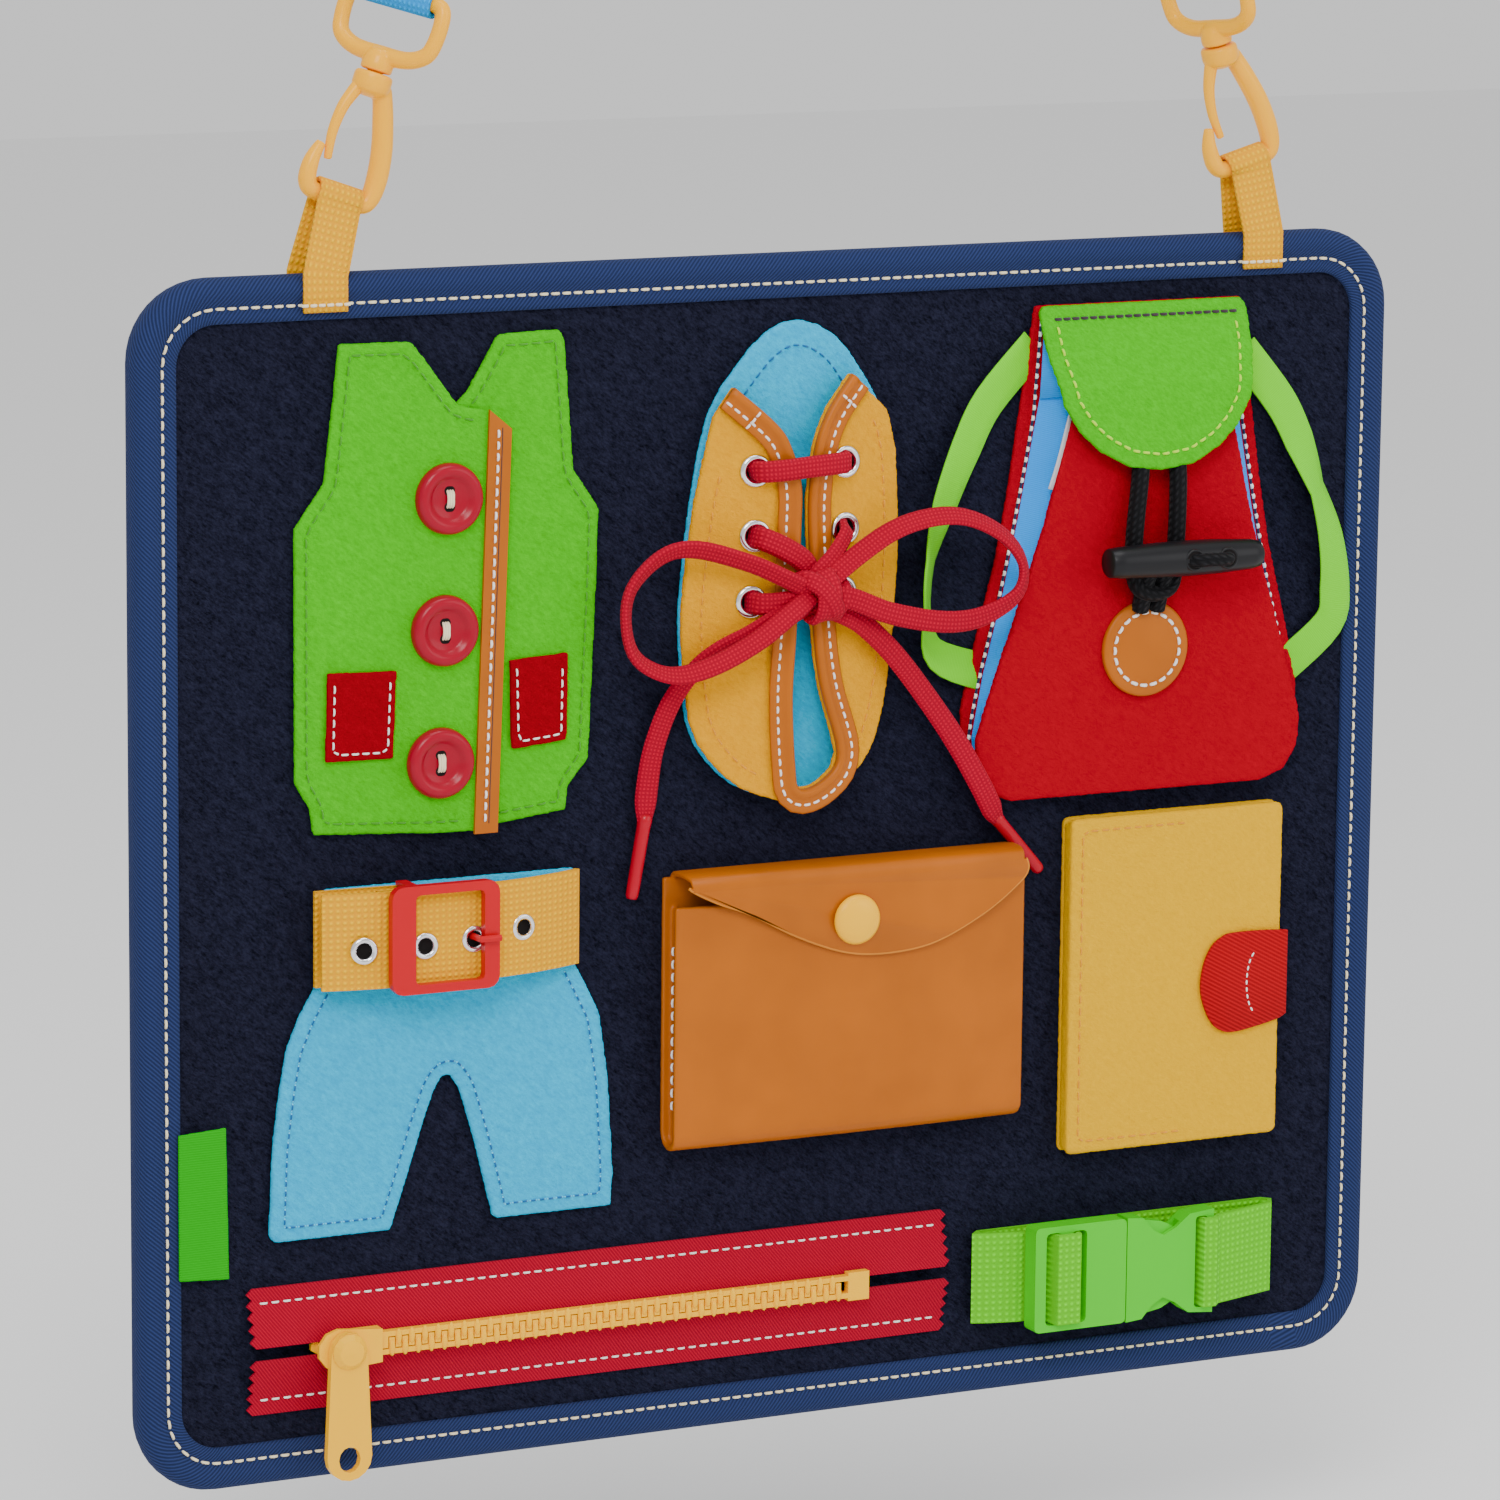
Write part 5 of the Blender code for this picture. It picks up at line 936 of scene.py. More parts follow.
def make_fittings(side):
    """One snap hook, its gate and its swivel ring."""
    frame_of = hook_frame(side)
    turned = ring_frame(side)
    half, top = HOOK_HALF_WIDTH, HOOK_LENGTH
    hook = smooth_tube(frame_of, [(x * half, z * top) for x, z in HOOK_SHARES], HOOK_RADII)
    melt(side + "_snap_hook", [hook, axis_tube(frame_of, COLLAR, top)], "amber_plastic",
         side + "_hook", (side + "_hook",))
    gate = [(-0.3, 0.965), (-0.44, 0.88), (-0.62, 0.72), (-0.68, 0.5), (-0.58, 0.28)]
    melt(side + "_snap_gate", [smooth_tube(frame_of, [(x * half, z * top) for x, z in gate],
                                           [1.9, 1.7, 1.5, 1.3, 1.0])],
         "amber_plastic", side + "_gate", (side + "_gate",))
    low, wide = top + COLLAR_HEIGHT + RING_ROD, RING_WIDTH / 2
    high = low + RING_HEIGHT
    loop = [(0, low), (wide * 0.55, low + 0.3), (wide * 0.9, low + 2.6), (wide, low + 6.5),
            (wide, high - 3), (wide * 0.9, high - 0.3), (wide * 0.6, high), (0, high)]
    loop += [(-x, z) for x, z in reversed(loop[1:-1])]
    radii = [2.3, 2.2, 2.1, 2.0, 2.0, 2.0, 2.0, 2.0, 2.0, 2.0, 2.0, 2.0, 2.1, 2.2]
    stem = [(-2.0, 1.7), (0, 1.7), (3.0, 1.7)]
    melt(side + "_swivel_ring", [smooth_tube(turned, loop, radii, True),
                                 axis_tube(turned, BOSS, top), axis_tube(turned, stem, top)],
         "amber_plastic", "strap", (side + "_ring",))


def make_hanging():
    """Strap, loops and the moulded fittings."""
    make_strap()
    for side in HOOKS:
        make_loop(side)
        make_fittings(side)


def planar_uv(mesh, slant=0.0):
    """UV places across a mesh's front, in metres, turned by a slope in degrees."""
    turn = math.radians(slant)
    layer = mesh.uv_layers.get("weave") or mesh.uv_layers.new(name="weave")
    for loop in mesh.loops:
        p = mesh.vertices[loop.vertex_index].co
        layer.data[loop.index].uv = (p.x * math.cos(turn) + p.z * math.sin(turn),
                                     p.z * math.cos(turn) - p.x * math.sin(turn))


def disc(u, v, profile, sides=48, slope=0.0):
    """Turned mesh from (radius, d) places round an axis square to the board."""
    made = bmesh.new()
    rings = []
    for radius, d in profile:
        turns = [2 * math.pi * k / sides for k in range(sides if radius else 1)]
        rings.append([made.verts.new(at(u + radius * math.cos(t), v + radius * math.sin(t),
                                        d + slope * radius * math.cos(t))) for t in turns])
    for a, b in zip(rings, rings[1:]):
        for k in range(sides):
            n = (k + 1) % sides
            if len(a) == 1:
                made.faces.new((a[0], b[n], b[k]))
            elif len(b) == 1:
                made.faces.new((a[k], a[n], b[0]))
            else:
                made.faces.new((a[k], a[n], b[n], b[k]))
    return mesh_of(made, "disc")


def ring_profile(inner, outer, low, high):
    """Profile of a rolled eyelet: a torus-like collar on the cloth."""
    middle, half = (inner + outer) / 2, (outer - inner) / 2
    made = [(inner, low)]
    for k in range(9):
        t = math.pi * k / 8
        made.append((middle - half * math.cos(t), low + (high - low) * math.sin(t)))
    return made


# Vest
BUTTONS = [(80.7, 244.2), (79.6, 211.7), (78.5, 178.9)]
BUTTON_RADIUS = 8.9
HOLE_OFFSET = 2.1
THREAD_RADIUS = 0.34 * MM


def make_vest():
    """Two felt fronts, leather edge, pockets, seams and two-hole buttons."""
    soften("vest_right", "vest_right_front", "green_felt", "board")
    soften("vest_left", "vest_left_front", "green_felt", "vest_front")
    link("leather_trim", from_node("vest_trim"), "tan_leather", "vest_front", ("vest_trim",),
         smooth=False)
    trim = resample(rim("vest_trim"), 1.5 * MM, closed=True)
    row = on_surface("vest_trim", [at(trim_middle(v, trim) - 0.5, v, 0)
                                   for v in range(163, 262)])
    stitches("trim_seam", row, "white_thread", "vest_front", 2.9, 0.3, 0.32, 0.12)
    # A thin dark tube beside the seam is painted shade in the leather's groove.
    groove = [p + Vector((1.1, 0, 0)) * MM for p in row]
    link("trim_groove_shade", tube_mesh(groove, 0.14 * MM, 6), "dark_thread", "vest_front")
    for name, node, body, test in (
            ("left", "vest_left_front", "vest_front", lambda u, v: u < trim_middle(v, trim) - 6),
            ("right", "vest_right_front", "board", lambda u, v: u > 84)):
        seam("vest_seam_" + name, node, 2.8, "green_thread", test, body, pitch=3.4,
             radius=0.24, lift=0.32)
    for side, body in (("left", "vest_front"), ("right", "board")):
        node = "pocket_" + side
        soften("vest_" + node, node, "dark_crimson_felt", body, 0.5, 0.1, 2)
        top = max(board_uv(p)[1] for p in rim(node))
        seam("pocket_seam_" + side, node, 1.7, "white_thread",
             lambda u, v: v < top - 2.4, body, pitch=2.8, radius=0.24)
    for number, (u, v) in enumerate(BUTTONS, 1):
        make_button(number, u, v)


def trim_middle(v, trim):
    """Middle of the vest's leather edge at a height."""
    near = [board_uv(p)[0] for p in trim if abs(board_uv(p)[1] - v) < 3]
    return (min(near) + max(near)) / 2 if near else 92.0


def make_button(number, u, v):
    """Glossy button with a rolled rim, a dish, two holes and its thread."""
    r = BUTTON_RADIUS
    profile = [(0, 2.3), (r * 0.8, 2.3), (r * 0.96, 2.9), (r, 3.9), (r * 0.98, 5.2),
               (r * 0.9, 6.2), (r * 0.78, 6.5), (r * 0.66, 6.1), (r * 0.58, 5.2), (r * 0.5, 4.8),
               (r * 0.3, 4.6), (0, 4.6)]
    link("button_%d_body" % number, disc(u, v, profile), "button_plastic",
         "board", ("button_%d" % number,))
    holes, threads = [], []
    # The two holes are dark discs of painted shade lying on the dish.
    for sign in (-1, 1):
        holes.append(disc(u, v + sign * HOLE_OFFSET, [(0, 4.63), (1.25, 4.66), (1.45, 4.6)], 16))
    link("button_%d_holes" % number, join(holes), "hole_shade", "board")
    for shift in (-0.55, 0.1, 0.7):
        line = route([(u + shift, v - HOLE_OFFSET, 4.4), (u + shift * 1.1, v - 1.4, 5.15),
                      (u + shift, v, 5.35), (u + shift * 1.1, v + 1.4, 5.15),
                      (u + shift, v + HOLE_OFFSET, 4.4)], 4)
        threads.append(tube_mesh(line, THREAD_RADIUS, 8))
    link("button_%d_thread" % number, join(threads), "cream_thread", "board")


# Flat laces, and pieces copied from the CAD
def band_along(points, tilts, width, thickness, edge=0.8):
    """Flat lace or ribbon through (u, v, d) places; each tilt turns its face from the viewer."""
    line = route(points, 5)
    count = len(line)
    sides = []
    for i in range(count):
        share = i / (count - 1) * (len(tilts) - 1)
        low = min(int(share), len(tilts) - 2)
        tilt = math.radians(tilts[low] + (tilts[low + 1] - tilts[low]) * (share - low))
        flat = heading(line, i).cross(OUT).normalized()
        sides.append(flat * math.cos(tilt) + OUT * math.sin(tilt))
    return band_mesh(line, sides, width, thickness, edge=edge)


def link_copy(name, node, mat, body):
    """The CAD node's shape as a piece of the visual, smooth but for its real edges."""
    mesh = from_node(node)
    obj = link(name, mesh, mat, body, (node,))
    mesh.set_sharp_from_angle(angle=math.radians(40))
    return obj


# Shoe
SHOE_MIDDLE = 174.8
SHOE_HALF_WIDTH = 30.2
SHOE_BOTTOM = 161.7
SHOE_HEIGHT = 121.8
UPPER_FRONT = 3.6
SLOT_SHARES = [(0.48, 0.89), (0.26, 0.822), (0.14, 0.754), (0.085, 0.672), (0.075, 0.583),
               (0.13, 0.37), (0.21, 0.24), (0.38, 0.103), (0.24, 0.05), (0.02, 0.035),
               (-0.03, 0.085), (-0.06, 0.23), (-0.03, 0.37), (0, 0.57), (0, 0.668),
               (-0.09, 0.744), (-0.225, 0.795), (-0.59, 0.873)]
EYELET_SHARES = [(-0.40, 0.700), (-0.40, 0.566), (-0.43, 0.43), (0.44, 0.708), (0.44, 0.57),
                 (0.42, 0.438)]


def shoe_place(x, y):
    """Place in millimetres of a share of the shoe."""
    return SHOE_MIDDLE + x * SHOE_HALF_WIDTH, SHOE_BOTTOM + y * SHOE_HEIGHT


def shoe_bulge(u):
    """How far the upper stands off at a place across the shoe."""
    return 4 * max(1 - ((u - SHOE_MIDDLE) / SHOE_HALF_WIDTH) ** 2, 0)


LEATHER_PROFILE = [(3.0, -0.3), (3.1, 0.15), (2.7, 0.45), (1.4, 0.4), (0.9, 0.25), (0.3, 0.4),
                   (-0.5, 0.6), (-1.1, 1.15), (-1.9, 1.5), (-2.7, 1.3), (-3.25, 0.6),
                   (-3.3, -0.3), (-2.8, -0.9), (-1.6, -0.9), (0.0, -0.45)]


def make_shoe():
    """Felt base and upper, leather binding with its seam, and the eyelets."""
    soften("shoe_sole", "shoe_base", "blue_felt", "board")
    soften("shoe_top", "shoe_upper", "yellow_felt", "board", 0.5)
    slot = catmull([Vector((*shoe_place(x, y), 0)) for x, y in SLOT_SHARES], 5)
    sections, seam_line = [], []
    for i, point in enumerate(slot):
        along = heading(slot, i)
        out = Vector((-along.y, along.x, 0))
        middle = point + out * 3.3
        depth = UPPER_FRONT + 0.9 + shoe_bulge(middle.x)
        sections.append([at(*(middle + out * a).xy, depth + b) for a, b in LEATHER_PROFILE])
        seam_line.append(at(*(middle + out * 0.9).xy, depth + 0.3))
    link("slot_binding", sweep(sections), "tan_leather", "board", ("shoe_binding",))
    stitches("slot_seam", seam_line, "white_thread", pitch=2.7, gap_share=0.28, radius=0.3)
    for name, row in (("start", 3), ("end", len(seam_line) - 4)):
        a, b = sections[row][1], sections[row][9]
        stitches("slot_seam_" + name, [a, a.lerp(b, 0.5) + OUT * 0.3 * MM, b], "white_thread",
                 pitch=2.3, gap_share=0.2, radius=0.3, lift=0.15)
    seam("toe_seam", "shoe_base", 6.0, "blue_thread", lambda u, v: v > 258, pitch=2.6,
         radius=0.22, lift=0.2)
    seam("upper_seam", "shoe_upper", 4.6, "yellow_thread",
         lambda u, v: abs(u - SHOE_MIDDLE) > 10 + (v > 215) * 11, pitch=3.0,
         radius=0.22, lift=0.16)
    rings, holes = [], []
    for x, y in EYELET_SHARES:
        u, v = shoe_place(x, y)
        depth = UPPER_FRONT + shoe_bulge(u) + 0.1
        slope = -8 * x / SHOE_HALF_WIDTH
        profile = [(2.45, depth - 2.2)] + ring_profile(2.45, 4.25, depth, depth + 1.0)
        rings.append(disc(u, v, profile, sides=40, slope=slope))
        # A dark disc of painted shade sits inside each eyelet, above the felt.
        holes.append(disc(u, v, [(0, depth - 1.9), (2.6, depth - 1.9)]))
    link("eyelets", join(rings), "metal", "board")
    link("eyelet_shadows", join(holes), "hole_shade", "board")


LACE_WIDTH = 6.0 * MM
TAIL_THICK = 1.9 * MM
TAPER = 2.6 * MM
TAPER_LENGTH = 6.0 * MM
LACE_THICK = 2.0 * MM
LOOP_LEFT = [(176, 216.5, 13.5), (167, 221, 14), (158, 225, 13), (144, 229, 12),
             (135, 227.5, 11), (127.5, 220, 10), (126, 211, 10), (128.5, 202.5, 11),
             (137, 198, 12.5), (147, 199.5, 14), (159, 205, 15), (168, 211, 15),
             (176, 216, 13.5)]
LOOP_LEFT_TILT = [30, 38, 34, 28, 34, 44, 52, 50, 44, 36, 34, 26, 20]
LOOP_RIGHT = [(176, 216, 13.5), (187, 224.5, 14), (200, 232, 15), (214.5, 234, 16),
              (226.5, 229.4, 17), (233.5, 221.4, 17), (232.5, 213.4, 17),
              (223.5, 208, 16), (212.5, 207, 15.5), (197.5, 210, 15), (186, 214.5, 14.5),
              (177, 216, 13.5)]
LOOP_RIGHT_TILT = [40, 48, 48, 46, 50, 56, 40, 14, 4, 0, 8, 20]
TAIL_LEFT = [(176, 214, 12.4), (165.8, 209.3, 11.6), (159.5, 206, 10.6), (151, 202, 8.6),
             (145.5, 196.5, 6.4), (141, 189, 4.2), (137.4, 178, 2.6), (135.8, 168, 2.2),
             (135.2, 160.5, 2.2), (135.2, 159.0, 2.2)]
TAIL_LEFT_TILT = [0, 6, 14, 26, 20, 10, 6, 0, 0, 0]
TAIL_RIGHT = [(177, 214, 12.4), (187.5, 209.6, 11.4), (193.5, 205.5, 10.8), (202, 197.5, 9.8),
              (212, 185.4, 9.0), (220, 174.4, 8.8), (227, 163.4, 8.2), (231.5, 156.4, 6.6),
              (234, 153.4, 4.8), (234.8, 152.4, 4.2)]
TAIL_RIGHT_TILT = [10, 12, 12, 10, 6, 0, 0, 0, 0, 0]
AGLETS = {"left": ((135.2, 159.8, 2.2), (131.6, 139.6, 2.2)),
          "right": ((234.6, 152.8, 4.0), (247.9, 138.2, 2.6))}


def make_laces():
    """Lace bar, crossed row, bow and knot."""
    over = UPPER_FRONT + 4.0
    bar = [(162.6, 246.8, over - 2.2), (163.0, 246.9, over + 0.6), (164.4, 247.0, over + 2.4),
           (169.0, 247.3, over + 3.6), (175.4, 247.8, over + 4.0), (182.0, 248.1, over + 3.6),
           (186.4, 248.2, over + 2.4), (187.8, 248.2, over + 0.6), (188.2, 248.2, over - 2.2)]
    link("lace_first_row", band_along(bar, [0] * 9, 5.4 * MM, 2.3 * MM), "red_lace", "board",
         ("lace_bar",))
    stubs = [
        ([(162.6, 230.4, over - 2.2), (163.1, 230.3, over + 0.6), (164.6, 229.8, over + 2.6),
          (169.5, 227.4, over + 3.6), (174.6, 224.0, over + 3.4), (177.5, 219.5, over + 2.6)],
         [0, 0, 0, 0, 0, 0], 5.8),
        ([(188.2, 231.4, over - 2.2), (187.8, 231.2, over + 0.6), (186.6, 229.8, over + 2.6),
          (182.4, 225.2, over + 4.6), (178.0, 221.0, over + 5.0), (175.5, 217.5, over + 4.0)],
         [0, 20, 20, 10, 0, 0], 5.0),
        ([(161.8, 213.9, over - 2.2), (162.3, 213.9, over + 0.6), (163.8, 213.8, over + 2.6),
          (168.5, 214.0, over + 3.8), (173.5, 215.0, over + 4.4), (177.0, 216.0, over + 4.0)],
         [0, 0, 0, 0, 0, 0], 5.6)]
    meshes = [band_along(points, tilts, width * MM, 2.1 * MM) for points, tilts, width in stubs]
    meshes.append(band_along(LOOP_LEFT, LOOP_LEFT_TILT, 5.2 * MM, LACE_THICK))
    meshes.append(band_along(LOOP_RIGHT, LOOP_RIGHT_TILT, 5.6 * MM, LACE_THICK))
    wrap = []
    for k in range(0, 391, 15):
        t = math.radians(k)
        wrap.append((177.6 + 1.3 * math.sin(t) + k * 0.002, 215.4 + 5.6 * math.cos(t),
                     13.4 + 3.5 * math.sin(t)))
    line = route(wrap, 2)
    wide = Vector((1, 0, 0.25)).normalized()
    meshes.append(band_mesh(line, [wide] * len(line), 6.6 * MM, 1.9 * MM, edge=0.8))
    fold = [(172.4, 219.6, 12.6), (174.0, 220.0, 15.0), (176.8, 218.2, 16.9),
            (179.6, 214.8, 17.2), (181.6, 211.6, 15.8), (181.8, 209.8, 13.0)]
    meshes.append(band_along(fold, [0] * 6, 4.6 * MM, 1.8 * MM))
    cheek = [(183.4, 219.4, 12.0), (184.4, 217.0, 14.2), (184.2, 214.0, 14.6),
             (182.8, 211.4, 13.4)]
    meshes.append(band_along(cheek, [0] * 4, 4.0 * MM, 2.0 * MM))
    link("lace_knot_and_loops", join(meshes), "red_lace", "board", ("lace_bow",))


def make_tails():
    """The lace's two free tails, flat bands with an aglet at each far end."""
    for side, points, tilts in (("left", TAIL_LEFT, TAIL_LEFT_TILT),
                                ("right", TAIL_RIGHT, TAIL_RIGHT_TILT)):
        ends = [(point - at(*points[-1])).length / TAPER_LENGTH for point in route(points, 5)]
        widths = [LACE_WIDTH - TAPER * max(0.0, 1 - share) ** 1.5 for share in ends]
        mesh = band_along(points, tilts, widths, TAIL_THICK)
        tail = link("tail_" + side, mesh, "red_lace", "board", ("lace_tail_" + side,))
        start, end = (at(*p) for p in AGLETS[side])
        along = (end - start).normalized()
        steps = [(-1.6, 1.2), (-1.2, 1.85), (0.4, 1.9), (1.4, 1.75), (2.4, 1.72), (17.5, 1.66),
                 (19.2, 1.6), (20.0, 1.3), (20.1, 0.5)]
        shell = tube_mesh([start + along * s * MM for s, _ in steps], [r * MM for _, r in steps],
                          16)
        aglet = link("aglet_" + side, shell, "aglet_plastic", "board")


# Backpack
BAG_MIDDLE = 274.8
BAG_HALF_WIDTH = 50
BAG_BOTTOM = 157.5
BAG_HEIGHT = 126.5
PATCH_PLACE = (274.8, 195.1)
PATCH_SEAM = 9.6
LOOP_CORD_RADIUS = 2.3
CROSS_CORD_RADIUS = 1.75
SEAM_SHARES = [(0.556, 0.975), (0.57, 0.9), (0.585, 0.826), (0.6, 0.763), (0.69, 0.573),
               (0.77, 0.423), (0.88, 0.257), (0.94, 0.13), (0.925, 0.08)]
LEFT_STRAP = [(245, 274, 1.1), (231, 260.5, 2.6), (224, 249, 3.8), (218, 235, 4.2),
              (214, 221, 4.4), (213.4, 208, 4.2), (216.4, 196.6, 3.0), (232, 190.5, 1.2)]
LEFT_STRAP_TILT = [0, 4, 8, 22, 50, 55, 30, 0]
RIGHT_STRAP = [(306, 270, 1.1), (317, 256.5, 2.4), (322.5, 246, 3.4), (328, 233, 4),
               (332.5, 220, 4), (334.5, 207, 3.4), (333.3, 197, 2.6), (320, 185.5, 1.2)]
RIGHT_STRAP_TILT = [0, 4, 10, 40, 20, 6, 4, 0]


def cord_tube(points, radius):
    """Braided cord through (u, v, d) places."""
    return tube_mesh(route(points, 6), radius * MM, 14)


def make_bag():
    """Felt panels, satin gusset and straps, flap with its cord, toggle and patch."""
    soften("bag_back_panel", "bag_back", "crimson_felt", "board")
    soften("bag_front_panel", "bag_front", "crimson_felt", "board")
    side_cloth = link_copy("bag_side", "bag_gusset", "blue_satin", "board")
    planar_uv(side_cloth.data, 75)
    corners = []
    for sign in (-1, 1):
        line = [at(BAG_MIDDLE + sign * u, v, d) for u, v, d in
                ((26.8, 281.5, 2.7), (26.3, 275, 3.6), (25.7, 268, 4.8), (25.5, 261, 6.0))]
        across = [Vector((-sign, -0.7 - 0.1 * k, 0)).normalized() for k in range(4)]
        corners.append(band_mesh(line, across, [2.4 * MM, 4.6 * MM, 7.4 * MM, 9.8 * MM],
                                 0.5 * MM))
    link("bag_side_corners", join(corners), "blue_satin", "board")
    soften("bag_lid", "bag_flap", "green_felt", "bag_flap")
    for side, sign in (("left", -1), ("right", 1)):
        places = [(BAG_MIDDLE + sign * (x * BAG_HALF_WIDTH + 0.9), BAG_BOTTOM + y * BAG_HEIGHT)
                  for x, y in SEAM_SHARES]
        line = on_surface("bag_back", route([(u, v, 0) for u, v in places], 8))
        white = stitch_mesh(line, 2.7 * MM, 0.42, 0.42 * MM, 0.3 * MM, OUT)
        link("bag_side_seam_" + side, white, "white_thread", "board")
        shifted = [p + OUT * 0.28 * MM for p in line]
        link("bag_side_thread_" + side, tube_mesh(shifted, 0.34 * MM, 8), "navy_thread", "board")
    strip = [(252.4, 262.2, 10.2), (250.6, 256, 9.9), (247.8, 245, 9.5), (245.6, 238, 9.2)]
    link("bag_lining", band_along(strip, [35] * 4, 2.4 * MM, 0.5 * MM), "lining", "board")
    seam("lid_seam", "bag_flap", 4.0, "lime_thread", lambda u, v: v < 279.5, "bag_flap",
         pitch=2.9, radius=0.34, lift=0.3)
    line = on_surface("bag_flap", [at(u / 2, 280.8, 0) for u in range(496, 605)])
    stitches("lid_top_seam", line, "dark_thread", "bag_flap", 2.6, 0.12, 0.38, 0.2)
    for side, points, tilts in (("left", LEFT_STRAP, LEFT_STRAP_TILT),
                                ("right", RIGHT_STRAP, RIGHT_STRAP_TILT)):
        link("shoulder_strap_" + side, band_along(points, tilts, 9.5 * MM, 0.6 * MM, 0.5),
             "lime_satin", "board", ("bag_strap_" + side,))
    loop = [(270.4, 247.5, 12.2), (269.7, 240, 13.0), (268.9, 231, 12.9), (268.6, 223, 12.4),
            (268.9, 216, 12.2), (270.4, 211.6, 12.6), (274.8, 210.2, 13.0),
            (279.2, 211.6, 12.6), (280.7, 216, 12.2), (281.0, 223, 12.4), (281.0, 231, 12.9),
            (280.9, 240, 13.0), (280.6, 247.5, 12.2)]
    link("lid_cord", cord_tube(loop, LOOP_CORD_RADIUS), "black_cord", "bag_flap", ("toggle_loop",))
    own = [cord_tube([(272.5 + x, 205.5, 9.4), (272.3 + x, 209.5, 11.2), (272.2 + x, 214, 13.2),
                      (272.4 + x, 218, 15.4)], LOOP_CORD_RADIUS) for x in (0, 4.8)]
    link("toggle_double_cord", join(own), "black_cord", "board", ("toggle_cord",))
    make_toggle()
    patch = [(0, 7.4), (12.2, 7.4), (12.45, 7.8), (12.5, 8.6), (12.2, 9.1), (11.6, 9.35),
             (10.6, 9.35), (9.6, 9.25), (8.8, 9.4), (0, 9.55)]
    link("round_patch", disc(*PATCH_PLACE, patch), "tan_leather", "board",
         ("bag_patch",))
    pu, pv = PATCH_PLACE
    ring = [at(pu + PATCH_SEAM * math.cos(t / 30 * math.pi),
               pv + PATCH_SEAM * math.sin(t / 30 * math.pi), 9.3) for t in range(60)]
    stitches("patch_seam", ring, "white_thread", pitch=2.9, gap_share=0.26, radius=0.4,
             lift=0.1, closed=True)


TOGGLE_PLACE = (280.65, 219.4, 17.6)


def make_toggle():
    """Tapered toggle with two holes and the cord that crosses between them."""
    u, v, d = TOGGLE_PLACE
    profile = [(-22.5, 0.4), (-22.5, 3.4), (-22.1, 3.75), (-19, 4.05), (-8, 4.5), (0, 4.6),
               (8, 4.5), (19, 3.9), (21.6, 3.4), (22.4, 2.4), (22.6, 0.6)]
    line = [at(u + a, v, d) for a, _ in profile]
    shell = tube_mesh(line, [r * MM for _, r in profile], 28)
    link("toggle_bar", shell, "black_plastic", "toggle", ("toggle",))
    shell.set_sharp_from_angle(angle=math.radians(50))
    holes, rims = [], []
    for shift in (0.5, 10.5):
        lift = 4.42 if shift < 5 else 4.28
        # dark is a disc of painted shade inside each hole; raised is the hole's rim.
        dark = [(0, d + lift + 0.1), (2.3, d + lift + 0.1), (2.4, d + lift - 0.6)]
        raised = [(2.2, d + lift + 0.05), (2.45, d + lift + 0.22), (2.75, d + lift + 0.1),
                  (2.9, d + lift - 0.5)]
        holes.append(disc(u + shift, v, dark, 28))
        rims.append(disc(u + shift, v, raised, 28))
    link("toggle_hole_shade", join(holes), "hole_shade", "toggle")
    link("toggle_rims", join(rims), "black_plastic", "toggle")
    across = [(u + 0.2, v, d + 3.6), (u + 1.4, v, d + 5.2), (u + 3.4, v + 0.2, d + 5.9),
              (u + 5.5, v + 0.2, d + 6.0), (u + 7.6, v + 0.1, d + 5.8), (u + 9.6, v, d + 5.1),
              (u + 10.8, v, d + 3.6)]
    link("toggle_cross_cord", cord_tube(across, CROSS_CORD_RADIUS), "black_cord", "toggle")


# Trousers and belt
BELT_HOLES = [(55.4, 135), (71.5, 135), (84.8, 135.6), (99, 137)]


def make_belt():
    """Trousers, belt webbing with its eyelets, buckle and prong."""
    soften("trouser_felt", "trousers", "blue_felt", "board")
    seam("trouser_thread", "trousers", 3.6, "sky_thread", lambda u, v: v < 124, pitch=2.4,
         gap_share=0.1, radius=0.22, lift=0.2)
    seam("trouser_seam", "trousers", 3.6, "blue_thread", lambda u, v: v < 124, pitch=2.4,
         radius=0.24, lift=0.28)
    soft_band("belt_long", "belt_strap", "gold_webbing")
    soft_band("belt_holder", "belt_short", "gold_webbing")
    link_copy("buckle_frame", "belt_buckle", "red_plastic", "board")
    link_copy("buckle_tongue", "belt_prong", "red_plastic", "belt_prong")
    rings, holes = [], []
    for u, v in BELT_HOLES:
        depth = surface_depth("belt_strap", u + 3.2, v)
        slope = (surface_depth("belt_strap", u + 4.0, v)
                 - surface_depth("belt_strap", u - 4.0, v)) / 8.0
        profile = [(1.9, depth - 1.0)] + ring_profile(1.9, 3.5, depth, depth + 0.8)
        rings.append(disc(u, v, profile, sides=32, slope=slope))
        # A dark disc of painted shade sits inside each eyelet.
        holes.append(disc(u, v, [(0, depth - 0.8), (2.0, depth - 0.8)], 20, slope))
    link("belt_eyelets", join(rings), "metal", "board")
    link("belt_eyelet_shadows", join(holes), "hole_shade", "board")


def surface_depth(node, u, v):
    """Depth of a node's front at a place, in millimetres."""
    hits = on_surface(node, [at(u, v, 0)])
    return -hits[0].y / MM + FACE_Y if hits else 0.0


def soft_band(name, node, mat):
    """Woven band in the shape of its CAD solid, its long edges rounded."""
    obj = link_copy(name, node, mat, "board")
    planar_uv(obj.data)
    rounding = obj.modifiers.new("rounding", "BEVEL")
    rounding.width = 0.22 * MM
    rounding.segments = 2
    rounding.limit_method = "ANGLE"
    rounding.angle_limit = math.radians(50)


